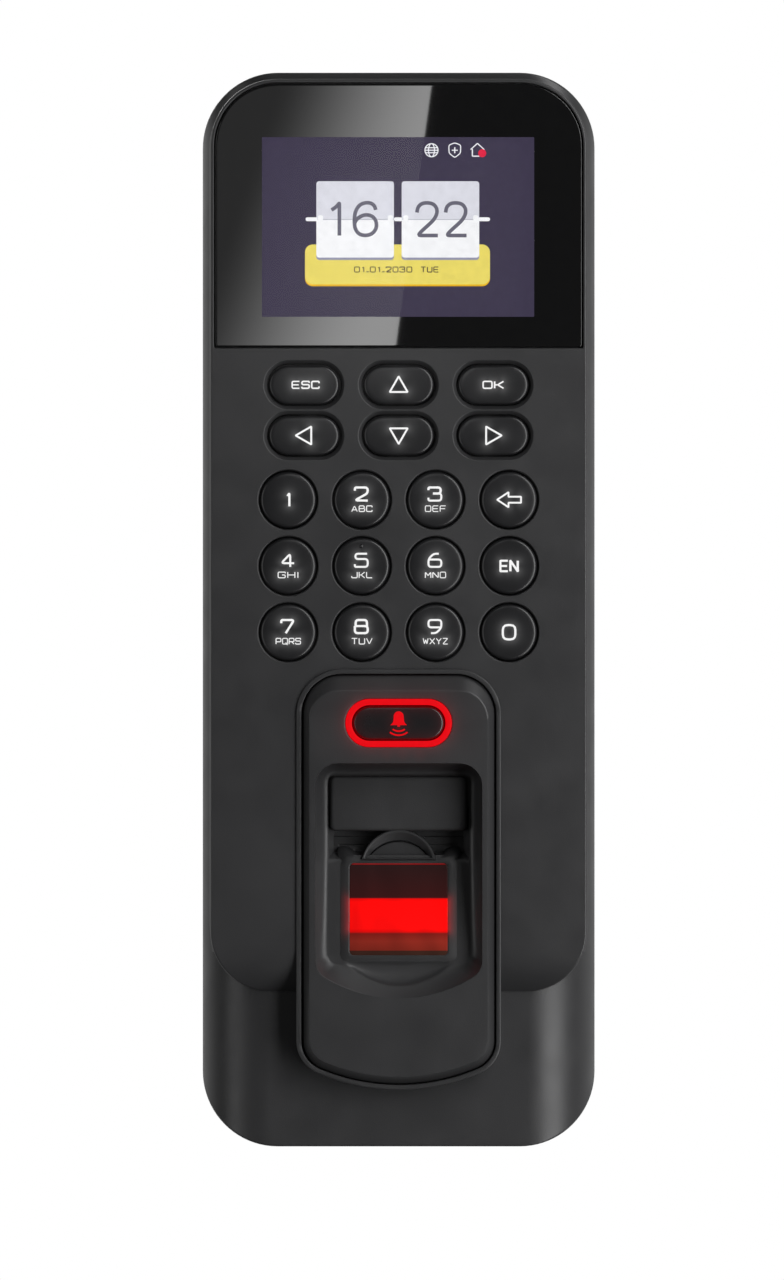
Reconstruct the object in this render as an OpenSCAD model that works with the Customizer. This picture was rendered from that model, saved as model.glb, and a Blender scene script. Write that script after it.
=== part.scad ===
/* [Body] */
// Width of the terminal
body_w = 65.8; // [65:0.1:67]
// Height of the terminal
body_h = 180; // [178:0.5:182]
// Corner radius of the outline, seen from the front
corner_r = 12.6; // [12:0.1:13]
// Distance from the wall to the lower front face
low_depth = 31; // [30.5:0.1:31.5]
// Distance from the wall to the raised panel's face
panel_depth = 35; // [35:0.1:35.4]
// Distance from the wall to the line where the two covers meet
parting_depth = 18; // [17.8:0.1:18.2]
// Radius of the long rolled edges of the lower body
roll_r = 11.3; // [10.5:0.1:11.8]
// Wall thickness of both covers
wall = 2.2; // [2:0.1:2.4]

/* [Raised panel] */
// Height at which the raised panel ends
panel_bottom = -64; // [-65:0.5:-63]
// Radius of the raised panel's lower corners
panel_corner_r = 10; // [9:0.5:11]
// Step from the body's side to the raised panel's side
panel_side_step = 1.4; // [1.2:0.1:1.6]
// Step from the body's top to the raised panel's top
panel_top_step = 1.1; // [1:0.1:1.3]

/* [Keys] */
// Diameter of a round number key
round_key_d = 9.35; // [9:0.05:9.5]
// Sideways pitch of the number keys
round_pitch_x = 12.33; // [12.1:0.01:12.5]
// Upright pitch of the number keys
round_pitch_z = 11.1; // [11:0.1:11.4]
// Height of the first row of number keys
round_top_z = 18.4; // [18:0.1:18.6]
// Width of an oblong menu key
menu_key_w = 11.8; // [11.4:0.1:12]
// Height of an oblong menu key
menu_key_h = 6.5; // [6.3:0.1:6.6]
// Sideways pitch of the menu keys
menu_pitch_x = 15.85; // [15.6:0.05:16]
// Upright pitch of the menu keys
menu_pitch_z = 8.49; // [8.4:0.01:8.6]
// Height of the first row of menu keys
menu_top_z = 37.65; // [37.4:0.05:37.8]

/* [Finger module] */
// Distance from the wall to the module's face
module_depth = 36.6; // [36.4:0.1:36.8]
// Half the width of the module
module_half_w = 16.3; // [16.1:0.1:16.4]
// Height of the module's top edge
module_top = -10.8; // [-11:0.1:-10.6]
// Radius of the shallow arc that ends the module
module_arc_r = 34; // [33.5:0.5:34.5]
// Height of the centre of that arc
module_arc_z = -45.6; // [-45.8:0.1:-45.4]
// Tilt of the sensor window
sensor_tilt = 10; // [9:0.5:11]
// Height of the sensor window's centre
sensor_z = -50.25; // [-50.4:0.05:-50.1]
// Distance from the wall to the sensor window's centre
sensor_depth = 32; // [31.9:0.1:32.1]

/* [Wall fixing] */
// Upright distance between the upper and lower wall screws
wall_screw_z = 83.3; // [83:0.1:84]
// Sideways distance between the corner wall screws
corner_screw_x = 36; // [34:0.5:37]
// Upright distance between the corner wall screws
corner_screw_z = 100; // [98:0.5:102]
// Radius of a wall screw hole
wall_hole_r = 2.1; // [2:0.05:2.3]
// How far the terminal lifts to come off its hooks
lift = 6; // [5.5:0.1:6]

/* [Hidden] */
$fn = 64;
gap = 0.3;
back_depth = 0.5;
plate_t = 1.6;
back_panel = [3.6, 5.6];
back_inset = 0.5;
skirt = 2.4;
collar_w = 0.85;
collar_depth = 35.4;
panel_top = body_h / 2 - panel_top_step;
panel_half = body_w / 2 - panel_side_step;
panel_top_r = corner_r - panel_side_step;
panel_roll_r = 10;
panel_roll_z = panel_bottom + 8;
panel_inner = panel_depth - wall;
low_inner = low_depth - wall;
roll_x = body_w / 2 - roll_r;
glass = [30.85, 43.9, 88.2, 10.5];
glass_back = panel_depth - 1.5;
tape_t = 0.2;
screen = [0, 64.1, 45.6, 30];
mat_depth = 28.6;
mat_top = 31.4;
key_flange_depth = mat_top + 0.1;
board_depth = 26.4;
main_board_depth = 20;
sensor_board_depth = 10.3;
hook_x = 18;
hook_z = [60, -60];
tab_z = -78;
tab_screw_depth = 7.6;
cover_screws = [[28, 41], [27.4, -13], [25, -79]];
board_screws = [[20.5, 70.8], [20.5, -3.2]];
module_screws = [[19.8, -16], [19.8, -52]];
tamper_z = -22;
tamper_slope = 0.2;
tamper_rise = 1.4;
tamper_r = 1.2;
speaker_z = 63;
jack = [-9, 22];
block = [11.5, 22];

// name, column, row: the menu keys first, then the number keys
MENU_KEYS = [
    ["key_esc", 0, 0], ["key_up", 1, 0], ["key_ok", 2, 0],
    ["key_left", 0, 1], ["key_down", 1, 1], ["key_right", 2, 1]];
ROUND_KEYS = [
    ["key_1", 0, 0], ["key_2", 1, 0], ["key_3", 2, 0], ["key_back", 3, 0],
    ["key_4", 0, 1], ["key_5", 1, 1], ["key_6", 2, 1], ["key_language", 3, 1],
    ["key_7", 0, 2], ["key_8", 1, 2], ["key_9", 2, 2], ["key_0", 3, 2]];
function menu_place(k) = [(k[1] - 1) * menu_pitch_x, menu_top_z - k[2] * menu_pitch_z];
function round_place(k) = [(k[1] - 1.5) * round_pitch_x, round_top_z - k[2] * round_pitch_z];

// Depth is measured from the wall towards the person who uses the terminal, along -Y.
module deep(from, to) {
    rotate([90, 0, 0]) translate([0, 0, from]) linear_extrude(to - from) children();
}

module rod(place, from, to, r) {
    translate([place[0], -from, place[1]]) rotate([90, 0, 0]) cylinder(h = to - from, r = r);
}

module cone(place, from, to, r_from, r_to) {
    translate([place[0], -from, place[1]])
        rotate([90, 0, 0]) cylinder(h = to - from, r1 = r_from, r2 = r_to);
}

// Extrudes a side outline, drawn as [-depth, z], across the width w.
module across(w) {
    translate([-w / 2, 0, 0]) rotate([90, 0, 90]) linear_extrude(w) children();
}

module both_sides() {
    children();
    mirror([1, 0, 0]) children();
}

module block_at(x, z, from, to) {
    translate([x[0], -to, z[0]]) cube([x[1] - x[0], to - from, z[1] - z[0]]);
}

module round_rect(w, h, r) {
    square([w - 2 * r, h], center = true);
    square([w, h - 2 * r], center = true);
    for (x = [-1, 1], z = [-1, 1]) translate([x * (w / 2 - r), z * (h / 2 - r)]) circle(r);
}

module round_rect_z(half_w, low, high, r) {
    translate([0, (low + high) / 2]) round_rect(2 * half_w, high - low, r);
}

// Upper corners round, lower corners square.
module arch(half_w, low, high, r) {
    translate([-half_w, low]) square([2 * half_w, high - low - r]);
    translate([-half_w + r, low]) square([2 * (half_w - r), high - low]);
    for (x = [-1, 1]) translate([x * (half_w - r), high - r]) circle(r);
}

module oblong(w, h) {
    square([w - h, h], center = true);
    for (x = [-1, 1]) translate([x * (w - h) / 2, 0]) circle(h / 2);
}

// An oblong solid whose size grows by 2 * grow from one depth to the other.
module sloped_oblong(place, from, to, w, h, grow) {
    half = (w - h) / 2;
    for (x = [-half, half]) cone([place[0] + x, place[1]], from, to, h / 2, h / 2 + grow);
    translate([place[0], 0, place[1]]) across(w - h)
        polygon([[-from, -h / 2], [-to, -h / 2 - grow], [-to, h / 2 + grow], [-from, h / 2]]);
}

function arc(cx, cz, r, a0, a1, n) =
    [for (i = [0:n]) [cx + r * cos(a0 + (a1 - a0) * i / n), cz + r * sin(a0 + (a1 - a0) * i / n)]];

// The module's outline, grown by g: round shoulders, straight sides and a shallow arc below.
function tongue(g) =
    let (w = module_half_w + g, top = module_top + g, rt = 6.7 + g, rc = 5 + g,
         big = module_arc_r + g, zc = module_arc_z - sqrt(pow(big - rc, 2) - pow(w - rc, 2)),
         turn = atan2(zc - module_arc_z, w - rc))
    concat(arc(w - rt, top - rt, rt, 90, 0, 10), arc(w - rc, zc, rc, 0, turn, 8),
           arc(0, module_arc_z, big, turn, -180 - turn, 18),
           arc(rc - w, zc, rc, -180 - turn, -180, 8), arc(rt - w, top - rt, rt, 180, 90, 10));

// Moves a solid drawn round depth 0 and height 0 onto the sensor's tilted plane.
module tilted() {
    translate([0, -sensor_depth, sensor_z]) rotate([-sensor_tilt, 0, 0]) children();
}

module outline(inset) {
    round_rect(body_w - 2 * inset, body_h - 2 * inset, corner_r - inset);
}

// The lower body's section in [x, -depth]: flat in the middle, rolled at both sides.
module roll_section(inset) {
    half = body_w / 2 - inset;
    front = low_depth - inset;
    side_depth = low_depth - roll_r;
    translate([-half, -side_depth]) square([2 * half, side_depth]);
    translate([-roll_x, -front]) square([2 * roll_x, front]);
    for (x = [-1, 1]) translate([x * roll_x, -side_depth]) circle(roll_r - inset);
}

module low_body(inset, from) {
    intersection() {
        deep(from, low_depth + 1) outline(inset);
        translate([0, 0, -body_h / 2]) linear_extrude(body_h) roll_section(inset);
    }
}

// The raised panel stands on the rolled body: round corners from the front, a rolled lower end.
module raised_panel() {
    intersection() {
        deep(parting_depth + 2, panel_depth) union() {
            round_rect_z(panel_half, panel_bottom, panel_top - 5, panel_corner_r);
            arch(panel_half, 0, panel_top, panel_top_r);
        }
        across(body_w) union() {
            translate([-panel_depth, panel_roll_z]) square([panel_depth, panel_top - panel_roll_z]);
            translate([-low_depth, panel_bottom]) square([low_depth, body_h / 2]);
            translate([-panel_depth + panel_roll_r, panel_roll_z]) circle(panel_roll_r);
        }
    }
}

module key_openings() {
    for (k = ROUND_KEYS) {
        rod(round_place(k), panel_inner - 1, panel_depth + 1, round_key_d / 2 + gap);
        cone(round_place(k), panel_depth - 0.3, panel_depth + 0.1, round_key_d / 2 + gap - 0.1,
             round_key_d / 2 + gap + 0.3);
    }
    for (k = MENU_KEYS) {
        p = menu_place(k);
        translate([p[0], 0, p[1]]) deep(panel_inner - 1, panel_depth + 1)
            oblong(menu_key_w + 2 * gap, menu_key_h + 2 * gap);
        sloped_oblong(p, panel_depth - 0.8, panel_depth + 0.1, menu_key_w + 2 * gap,
                      menu_key_h + 2 * gap, 0.6);
    }
}

module front_cover() {
    color("#3a3a3c") difference() {
        union() {
            difference() {
                union() {
                    low_body(0, parting_depth);
                    raised_panel();
                }
                low_body(wall, parting_depth - 1);
                deep(parting_depth - 1, panel_inner)
                    round_rect_z(panel_half - wall, panel_roll_z, panel_top - wall,
                                 panel_top_r - wall);
            }
            deep(low_inner - 0.6, collar_depth) polygon(tongue(collar_w));
            deep(panel_inner - 1.2, glass_back - tape_t)
                arch(panel_half - wall + 0.1, 42, panel_top - wall + 0.1, panel_top_r - wall);
            both_sides() {
                for (p = cover_screws)
                    rod(p, parting_depth + 0.3, p[1] > -60 ? panel_inner + 0.2 : low_inner - 0.4,
                        p[1] > 0 ? 3 : 3.5);
                for (p = module_screws) rod(p, 28.2, panel_inner + 0.2, 2.4);
            }
        }
        deep(low_inner - 5, module_depth) polygon(tongue(0));
        deep(glass_back - tape_t, panel_depth + 1)
            arch(glass[0] + 0.1, glass[1] - 0.1, glass[2] + 0.1, glass[3] + 0.1);
        deep(panel_inner - 2, panel_depth) round_rect_z(24.2, 47.6, 80.6, 1);
        key_openings();
        both_sides() {
            for (p = cover_screws) rod(p, parting_depth - 1, 27, 1.5);
            for (p = module_screws) rod(p, 27, panel_inner - 0.6, 1.05);
        }
    }
}

module rear_cover() {
    half = body_w / 2 - back_inset;
    high = body_h / 2 - back_inset;
    r = corner_r - back_inset;
    inner_half = half - skirt;
    inner_high = high - skirt;
    color("#2c2c2e") difference() {
        union() {
            difference() {
                deep(back_depth, parting_depth - 0.1) round_rect_z(half, -high, high, r);
                deep(0, back_panel[0]) round_rect_z(inner_half, -inner_high, inner_high, r - skirt);
                deep(back_panel[1], parting_depth)
                    round_rect_z(inner_half, -inner_high, inner_high, r - skirt);
            }
            both_sides() {
                // tongue that holds the top edge
                block_at([8, 16], [high - skirt - 1.6, high - skirt + 0.2], 14, parting_depth + 2.5);
                for (p = cover_screws) rod(p, back_panel[0], parting_depth - 0.1, 3.5);
                for (p = board_screws) rod(p, back_panel[0], main_board_depth, 2.8);
            }
        }
        // groove for the seal
        deep(parting_depth - 1.1, parting_depth) difference() {
            round_rect_z(half - 0.7, 0.7 - high, high - 0.7, r - 0.7);
            round_rect_z(half - 1.8, 1.8 - high, high - 1.8, r - 1.8);
        }
        both_sides() {
            for (p = cover_screws) {
                rod(p, 0, parting_depth, 1.7);
                rod(p, 0, back_panel[1] + 0.4, 3.1);
            }
            for (p = board_screws) rod(p, 12, main_board_depth + 1, 1.05);
            for (z = hook_z)
                block_at([hook_x - 4.4, hook_x + 4.4], [z - lift - 0.4, z + 2.3], 3, 6);
        }
        block_at([-6.6, 6.6], [tab_z - lift - 0.4, tab_z + 2], 3, 6);
        // wiring pocket
        deep(3, 6) round_rect_z(20, 5, 39, 2);
        rod([0, tamper_z], 3, 6, tamper_r + gap);
        for (a = [0:60:300]) rod([5.5 * cos(a), speaker_z + 5.5 * sin(a)], 3, 6, 0.9);
        rod([0, speaker_z], 3, 6, 0.9);
        // security screw, from below
        translate([0, -tab_screw_depth, -body_h / 2]) {
            cylinder(h = 5, r = 1.7);
            cylinder(h = 1.8, r = 3.1);
        }
    }
}

module wall_plate() {
    color("#8f9296") {
        difference() {
            union() {
                deep(0, plate_t) union() {
                    round_rect_z(26, -73, 73, 4);
                    translate([-6, tab_z]) square([12, 10]);
                }
                both_sides() for (z = hook_z) {
                    block_at([hook_x - 4, hook_x + 4], [z, z + 2], plate_t / 2, 8);
                    block_at([hook_x - 4, hook_x + 4], [z, z + 6], 6.2, 8);
                }
                block_at([-6, 6], [tab_z, tab_z + plate_t], 0, 12);
                across(6) polygon([
                    [-plate_t / 2, tamper_z - 1.5], [-plate_t - tamper_rise - 0.3, tamper_z - 1.5],
                    [-plate_t - tamper_rise + tamper_slope * 6.5, tamper_z + 6.5],
                    [-plate_t / 2, tamper_z + 6.5]]);
            }
            for (x = [-1, 1], z = [-1, 1])
                rod([x * corner_screw_x / 2, z * corner_screw_z / 2], -1, 3, wall_hole_r);
            for (z = [-1, 1]) rod([0, z * wall_screw_z / 2], -1, 3, wall_hole_r);
            deep(-1, 3) round_rect_z(20, 5, 36, 3);
            translate([0, -tab_screw_depth, tab_z - 1]) cylinder(h = 4, r = 1.7);
        }
    }
}

module cover_seal() {
    half = body_w / 2 - back_inset - 0.75;
    high = body_h / 2 - back_inset - 0.75;
    r = corner_r - back_inset - 0.75;
    color("#1c1c1c") deep(parting_depth - 1.05, parting_depth - 0.02) difference() {
        round_rect_z(half, -high, high, r);
        round_rect_z(half - 1, 1 - high, high - 1, r - 1);
    }
}

module display_window() {
    color("#0a0a0c") deep(glass_back, panel_depth) arch(glass[0], glass[1], glass[2], glass[3]);
}

module window_tape() {
    color("#202020") deep(glass_back - tape_t + 0.02, glass_back - 0.02) difference() {
        arch(glass[0] - 0.3, glass[1] + 0.3, glass[2] - 0.3, glass[3] - 0.3);
        round_rect_z(24.6, 47.2, 81, 1);
    }
}

module screen_panel() {
    color("#403a4e") deep(29.9, 31.5) round_rect_z(25.4, screen[1] - 17.6, screen[1] + 17.6, 0.5);
}

module screen_frame() {
    color("#9a9a9a") deep(28.6, 31.4) difference() {
        round_rect_z(26.2, screen[1] - 18.4, screen[1] + 18.4, 0.8);
        round_rect_z(25.5, screen[1] - 17.7, screen[1] + 17.7, 0.5);
    }
    color("#9a9a9a") deep(28.6, 29.8) round_rect_z(25.8, screen[1] - 18, screen[1] + 18, 0.6);
}

module screen_ribbon() {
    color("#b8762a") {
        block_at([-8, 8], [42.6, 42.8], 21.7, 29.4);
        block_at([-8, 8], [42.6, 45.6], 29.2, 29.4);
        block_at([-8, 8], [38, 42.8], 21.65, 21.85);
    }
}

module key_shape(w, h, cap_depth) {
    deep(key_flange_depth + 1.2, cap_depth) oblong(w, h);
    deep(key_flange_depth, key_flange_depth + 1.2) oblong(w + 1.6, h + 1.6);
}

module menu_key(k) {
    p = menu_place(k);
    color("#4a4a4d") translate([p[0], 0, p[1]]) key_shape(menu_key_w, menu_key_h, panel_depth + 0.1);
}

module round_key(k) {
    p = round_place(k);
    color("#2a2a2c") {
        rod(p, key_flange_depth, key_flange_depth + 1.2, round_key_d / 2 + 0.8);
        rod(p, key_flange_depth + 1.2, panel_depth, round_key_d / 2);
        cone(p, panel_depth, panel_depth + 0.35, round_key_d / 2, round_key_d / 2 - 0.45);
    }
}

module keypad_mat() {
    color("#d8d8d4") {
        deep(mat_depth, mat_depth + 0.9) difference() {
            round_rect_z(24.2, -9, 42, 2);
            for (x = [-1, 1]) translate([x * module_screws[0][0], module_screws[0][1]]) circle(3.4);
        }
        for (k = ROUND_KEYS) rod(round_place(k), mat_depth + 0.5, mat_top, 2.6);
        for (k = MENU_KEYS) rod(menu_place(k), mat_depth + 0.5, mat_top, 2.2);
    }
}

module keypad_board() {
    color("#1f6b3a") deep(board_depth, board_depth + 1.6) round_rect_z(24, -9, 42, 1);
}

module dome_switches() {
    color("#c8c8c8") {
        for (k = ROUND_KEYS) rod(round_place(k), board_depth + 1.6, board_depth + 2.1, 2);
        for (k = MENU_KEYS) rod(menu_place(k), board_depth + 1.6, board_depth + 2.1, 1.8);
    }
}

module key_lights() {
    size = 0.8;
    color("#f4f4e0") for (k = ROUND_KEYS) {
        p = round_place(k);
        block_at([p[0] + 3.4, p[0] + 3.4 + size], [p[1] - size / 2, p[1] + size / 2],
                 board_depth + 1.6, board_depth + 2.1);
    }
}

// The space that the finger goes into: it narrows inwards and its floor follows the sensor.
module finger_space() {
    front = module_depth + 1;
    intersection() {
        deep(20, front) round_rect_z(14.35, -66.4, -25.4, 3.9);
        translate([0, 0, -80]) linear_extrude(80)
            polygon([[-14.9, -front], [-11.9, -30], [11.9, -30], [14.9, -front]]);
        across(40) polygon([
            [-front, -24.8], [-33, -26.2], [-30, -27.4], [-30, -41.6], [-33.1, -59.4],
            [-33.1, -60.4], [-front, -66.8]]);
    }
}

module module_cover() {
    color("#3c3c3e") difference() {
        union() {
            intersection() {
                deep(panel_depth - 1.8, module_depth) polygon(tongue(-0.15));
                // sides and top slope towards the face
                translate([0, 0, -90]) linear_extrude(90)
                    polygon([[-17.4, -33], [-15, -module_depth], [15, -module_depth], [17.4, -33]]);
                across(40) polygon([
                    [-33, -9.8], [-35.2, -10.8], [-module_depth, -13.6], [-module_depth, -78.2],
                    [-35.2, -79.7], [-33, -80.6]]);
            }
            deep(27.4, panel_depth - 1.7) difference() {
                polygon(tongue(-0.15));
                polygon(tongue(-1.9));
            }
            block_at([-14.6, 14.6], [-68.4, -24.2], 28, panel_depth - 1.5);
            both_sides() for (p = module_screws) {
                rod(p, 26.2, 28, 2.9);
                block_at([15, p[0]], [p[1] - 2.9, p[1] + 2.9], 26.2, 28);
            }
        }
        finger_space();
        // seat of the sensor frame and the way through to the prism
        tilted() deep(-1.7, 8) round_rect(19.2, 18.8, 1.2);
        tilted() deep(-9, 1) round_rect(16.4, 15.6, 1);
        translate([0, 0, -19]) deep(30, 40) oblong(17.95, 8.15);
        both_sides() for (p = module_screws) rod(p, 25, 29, 1.15);
    }
}

module bell_light_ring() {
    color("#ff1020") translate([0, 0, -19]) deep(33.4, module_depth + 0.1) difference() {
        oblong(17.85, 8.05);
        oblong(15.7, 6);
    }
}

module bell_button() {
    color("#333335") translate([0, 0, -19]) {
        deep(33.2, module_depth + 0.1) oblong(15.2, 5.5);
        deep(32.2, 33.2) oblong(16.4, 6.7);
        rod([0, 0], 31.8, 32.3, 1.5);
    }
}

module bell_board() {
    color("#1f6b3a") deep(board_depth + 1.1, board_depth + 2.5) round_rect_z(11, -23.6, -13, 1);
}

module bell_switch() {
    color("#1a1a1a") block_at([-3, 3], [-22, -16], board_depth + 2.5, 31.2);
    color("#c8c8c8") rod([0, -19], 31.2, 31.7, 1.4);
}

module finger_plate() {
    color("#38383a") deep(30.03, 31) difference() {
        union() {
            round_rect_z(11.5, -37.1, -27.9, 0.9);
            translate([-8, -40]) square([16, 5]);
        }
        translate([0, -43.3]) circle(6.1);
    }
}

module sensor_frame() {
    color("#242426") tilted() deep(-1.65, 0.35) difference() {
        round_rect(19, 18.6, 1.1);
        round_rect(16.8, 16, 0.8);
    }
}

module sensor_window() {
    color("#7a1810") tilted() deep(-1.2, 0) round_rect(16.6, 15.8, 0.7);
}

module sensor_prism() {
    color("#a03028") tilted() across(14.6)
        polygon([[1.25, -7], [1.25, 7], [8.5, 2], [8.5, -7]]);
}

module sensor_housing() {
    color("#1d1d1f") difference() {
        block_at([-11.4, 11.4], [-63, -38], 12, 27.9);
        block_at([-10, 10], [-61.6, -39.4], 13.4, 29);
        rod([0, -50], 11, 14, 4.8);
        for (x = [-1, 1]) block_at([x * 7 - 1.4, x * 7 + 1.4], [-52.5, -47.5], 11, 14);
    }
}

module sensor_board() {
    color("#1f6b3a") deep(sensor_board_depth, sensor_board_depth + 1.6)
        round_rect_z(12.5, -66, -35, 1);
}

module sensor_lights() {
    color("#ffd0d0") for (x = [-7, 7], z = [-51.5, -48.5])
        block_at([x - 0.8, x + 0.8], [z - 0.8, z + 0.8], sensor_board_depth + 1.6, 13);
}

module sensor_camera() {
    color("#151515") rod([0, -50], sensor_board_depth + 1.6, 16.5, 4.2);
    color("#303040") rod([0, -50], 16.5, 17.4, 3);
}

module main_board() {
    color("#1f6b3a") difference() {
        deep(main_board_depth + 0.02, main_board_depth + 1.6) round_rect_z(23.8, -7.6, 74.4, 1.5);
        both_sides() for (p = board_screws) rod(p, 19, 23, 1.2);
    }
}

module main_chips() {
    front = main_board_depth + 1.6;
    color("#101010") {
        block_at([-7, 7], [6, 20], front, front + 1.4);
        block_at([10, 20], [8, 16], front, front + 1.1);
        block_at([-20, -12], [24, 35], front, front + 1.1);
    }
}

module shield_can() {
    front = main_board_depth + 1.6;
    color("#b8babd") difference() {
        block_at([-18, 18], [48, 66], front, front + 2.6);
        block_at([-17.7, 17.7], [48.3, 65.7], front - 1, front + 2.3);
    }
}

module cell_holder() {
    color("#1a1a1a") difference() {
        rod([14, 52], 15.6, main_board_depth, 8);
        rod([14, 52], 15, 19.2, 6.6);
    }
}

module coin_cell() {
    color("#c8c8c8") rod([14, 52], 16.6, 19.15, 6.25);
}

module speaker() {
    color("#202020") {
        rod([0, speaker_z], back_panel[1] + 0.6, 10.5, 8.5);
        difference() {
            rod([0, speaker_z], back_panel[1] + 0.02, 9.5, 9.5);
            rod([0, speaker_z], back_panel[1] - 1, 9.6, 8.5);
        }
    }
}

module network_jack() {
    color("#c0c2c4") difference() {
        block_at([jack[0] - 8, jack[0] + 8], [jack[1] - 7.5, jack[1] + 7.5], 6.6, main_board_depth);
        block_at([jack[0] - 5.9, jack[0] + 5.9], [jack[1] - 4.2, jack[1] + 4.2], 6, 17.5);
    }
}

module terminal_block() {
    color("#2f7a3f") difference() {
        block_at([block[0] - 4.5, block[0] + 4.5], [block[1] - 13, block[1] + 13], 9,
                 main_board_depth);
        for (i = [0:4]) {
            rod([block[0] - 1.6, block[1] - 10.2 + 5.1 * i], 8, 16, 1.2);
            rod([block[0] + 2.4, block[1] - 10.2 + 5.1 * i], 8, 12, 1.4);
        }
    }
}

module tamper_switch() {
    color("#1a1a1a") difference() {
        block_at([-6.4, 6.4], [tamper_z - 3.2, tamper_z + 3.2], back_panel[1] + 0.02, 12.2);
        rod([0, tamper_z], back_panel[1] - 1, 10.3, tamper_r + 0.08);
    }
}

module tamper_plunger() {
    // the round tip rests on the plate's sloped pad
    tip = plate_t + tamper_rise + (tamper_r + 0.05) * sqrt(1 + tamper_slope * tamper_slope);
    color("#e8e8e0") {
        rod([0, tamper_z], tip, 10, tamper_r);
        translate([0, -tip, tamper_z]) sphere(tamper_r);
    }
}

// The crossed slots in a screw's head
module cross_slots(p, head_back, reach) {
    slot = 0.3;
    slot_depth = 0.8;
    block_at([p[0] - reach, p[0] + reach], [p[1] - slot, p[1] + slot], head_back - 1,
             head_back + slot_depth);
    block_at([p[0] - slot, p[0] + slot], [p[1] - reach, p[1] + reach], head_back - 1,
             head_back + slot_depth);
}

module cover_screws() {
    head_back = 4;
    color("#77797c") both_sides() for (p = cover_screws) difference() {
        union() {
            rod(p, head_back, back_panel[1] + 0.4, 2.8);
            rod(p, back_panel[1] + 0.4, 26, 1.45);
        }
        cross_slots(p, head_back, 1.6);
    }
}

module module_screws() {
    color("#77797c") both_sides() for (p = module_screws) {
        rod(p, 24.8, 26.2, 1.9);
        rod(p, 26.2, 31.5, 1);
    }
}

module board_screws() {
    front = main_board_depth + 1.6;
    color("#77797c") both_sides() for (p = board_screws) {
        rod(p, front, front + 1.4, 1.9);
        rod(p, 13, front, 1);
    }
}

module security_screw() {
    color("#9a9ca0") translate([0, -tab_screw_depth, -body_h / 2]) difference() {
        union() {
            translate([0, 0, 0.3]) cylinder(h = 1.5, r = 2.8);
            cylinder(h = 15.5, r = 1.45);
        }
        translate([0, 0, -1]) cylinder(h = 2.1, r = 1.2, $fn = 6);
    }
}

wall_plate();
rear_cover();
front_cover();
cover_seal();
display_window();
window_tape();
screen_panel();
screen_frame();
screen_ribbon();
for (k = MENU_KEYS) menu_key(k);
for (k = ROUND_KEYS) round_key(k);
keypad_mat();
keypad_board();
dome_switches();
key_lights();
module_cover();
bell_button();
bell_light_ring();
bell_board();
bell_switch();
finger_plate();
sensor_frame();
sensor_window();
sensor_prism();
sensor_housing();
sensor_board();
sensor_lights();
sensor_camera();
main_board();
main_chips();
shield_can();
coin_cell();
cell_holder();
speaker();
network_jack();
terminal_block();
tamper_switch();
tamper_plunger();
cover_screws();
module_screws();
board_screws();
security_screw();
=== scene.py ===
"""A fingerprint terminal on its wall plate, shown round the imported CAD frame.

Lengths are in millimetres until they become vertices. A place is (x, depth, z): depth runs from
the wall towards the person who uses the terminal, so a vertex is (x, -depth, z) in metres.
"""

import math

import bmesh
import bpy
import numpy as np
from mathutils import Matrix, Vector
from mathutils.geometry import delaunay_2d_cdt

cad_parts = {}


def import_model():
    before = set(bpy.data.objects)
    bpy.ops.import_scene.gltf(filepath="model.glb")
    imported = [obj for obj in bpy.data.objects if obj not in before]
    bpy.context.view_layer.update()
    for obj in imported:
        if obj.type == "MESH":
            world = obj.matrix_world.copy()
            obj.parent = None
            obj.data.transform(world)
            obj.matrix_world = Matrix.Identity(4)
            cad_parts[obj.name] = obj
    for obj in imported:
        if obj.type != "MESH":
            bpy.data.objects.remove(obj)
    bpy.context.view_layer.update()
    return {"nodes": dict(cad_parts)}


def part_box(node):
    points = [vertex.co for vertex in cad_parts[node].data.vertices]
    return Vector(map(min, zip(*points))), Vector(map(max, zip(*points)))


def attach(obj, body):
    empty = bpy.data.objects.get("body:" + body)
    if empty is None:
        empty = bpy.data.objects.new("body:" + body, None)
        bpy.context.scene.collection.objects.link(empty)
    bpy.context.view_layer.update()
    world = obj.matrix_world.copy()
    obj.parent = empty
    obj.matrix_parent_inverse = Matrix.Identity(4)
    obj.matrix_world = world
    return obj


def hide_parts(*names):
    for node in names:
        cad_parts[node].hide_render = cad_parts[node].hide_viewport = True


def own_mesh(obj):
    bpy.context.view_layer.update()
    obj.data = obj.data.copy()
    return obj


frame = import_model()
MM = 0.001


class Extent:
    """A CAD node's box in millimetres, from its back (nearest the wall) to its front."""

    def __init__(self, node):
        low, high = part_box(node)
        self.left, self.right = low[0] / MM, high[0] / MM
        self.back, self.front = -high[1] / MM, -low[1] / MM
        self.low, self.high = low[2] / MM, high[2] / MM
        self.x = (self.left + self.right) / 2
        self.z = (self.low + self.high) / 2
        self.width = self.right - self.left
        self.height = self.high - self.low


COVER = Extent("front_cover")
GLASS = Extent("display_window")
MODULE = Extent("module_cover")
BELL_RING = Extent("bell_light_ring")
BELL_CAP = Extent("bell_button")
PLATE = Extent("finger_plate")
SCREEN = Extent("screen_panel")
MAT = Extent("keypad_mat")

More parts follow.
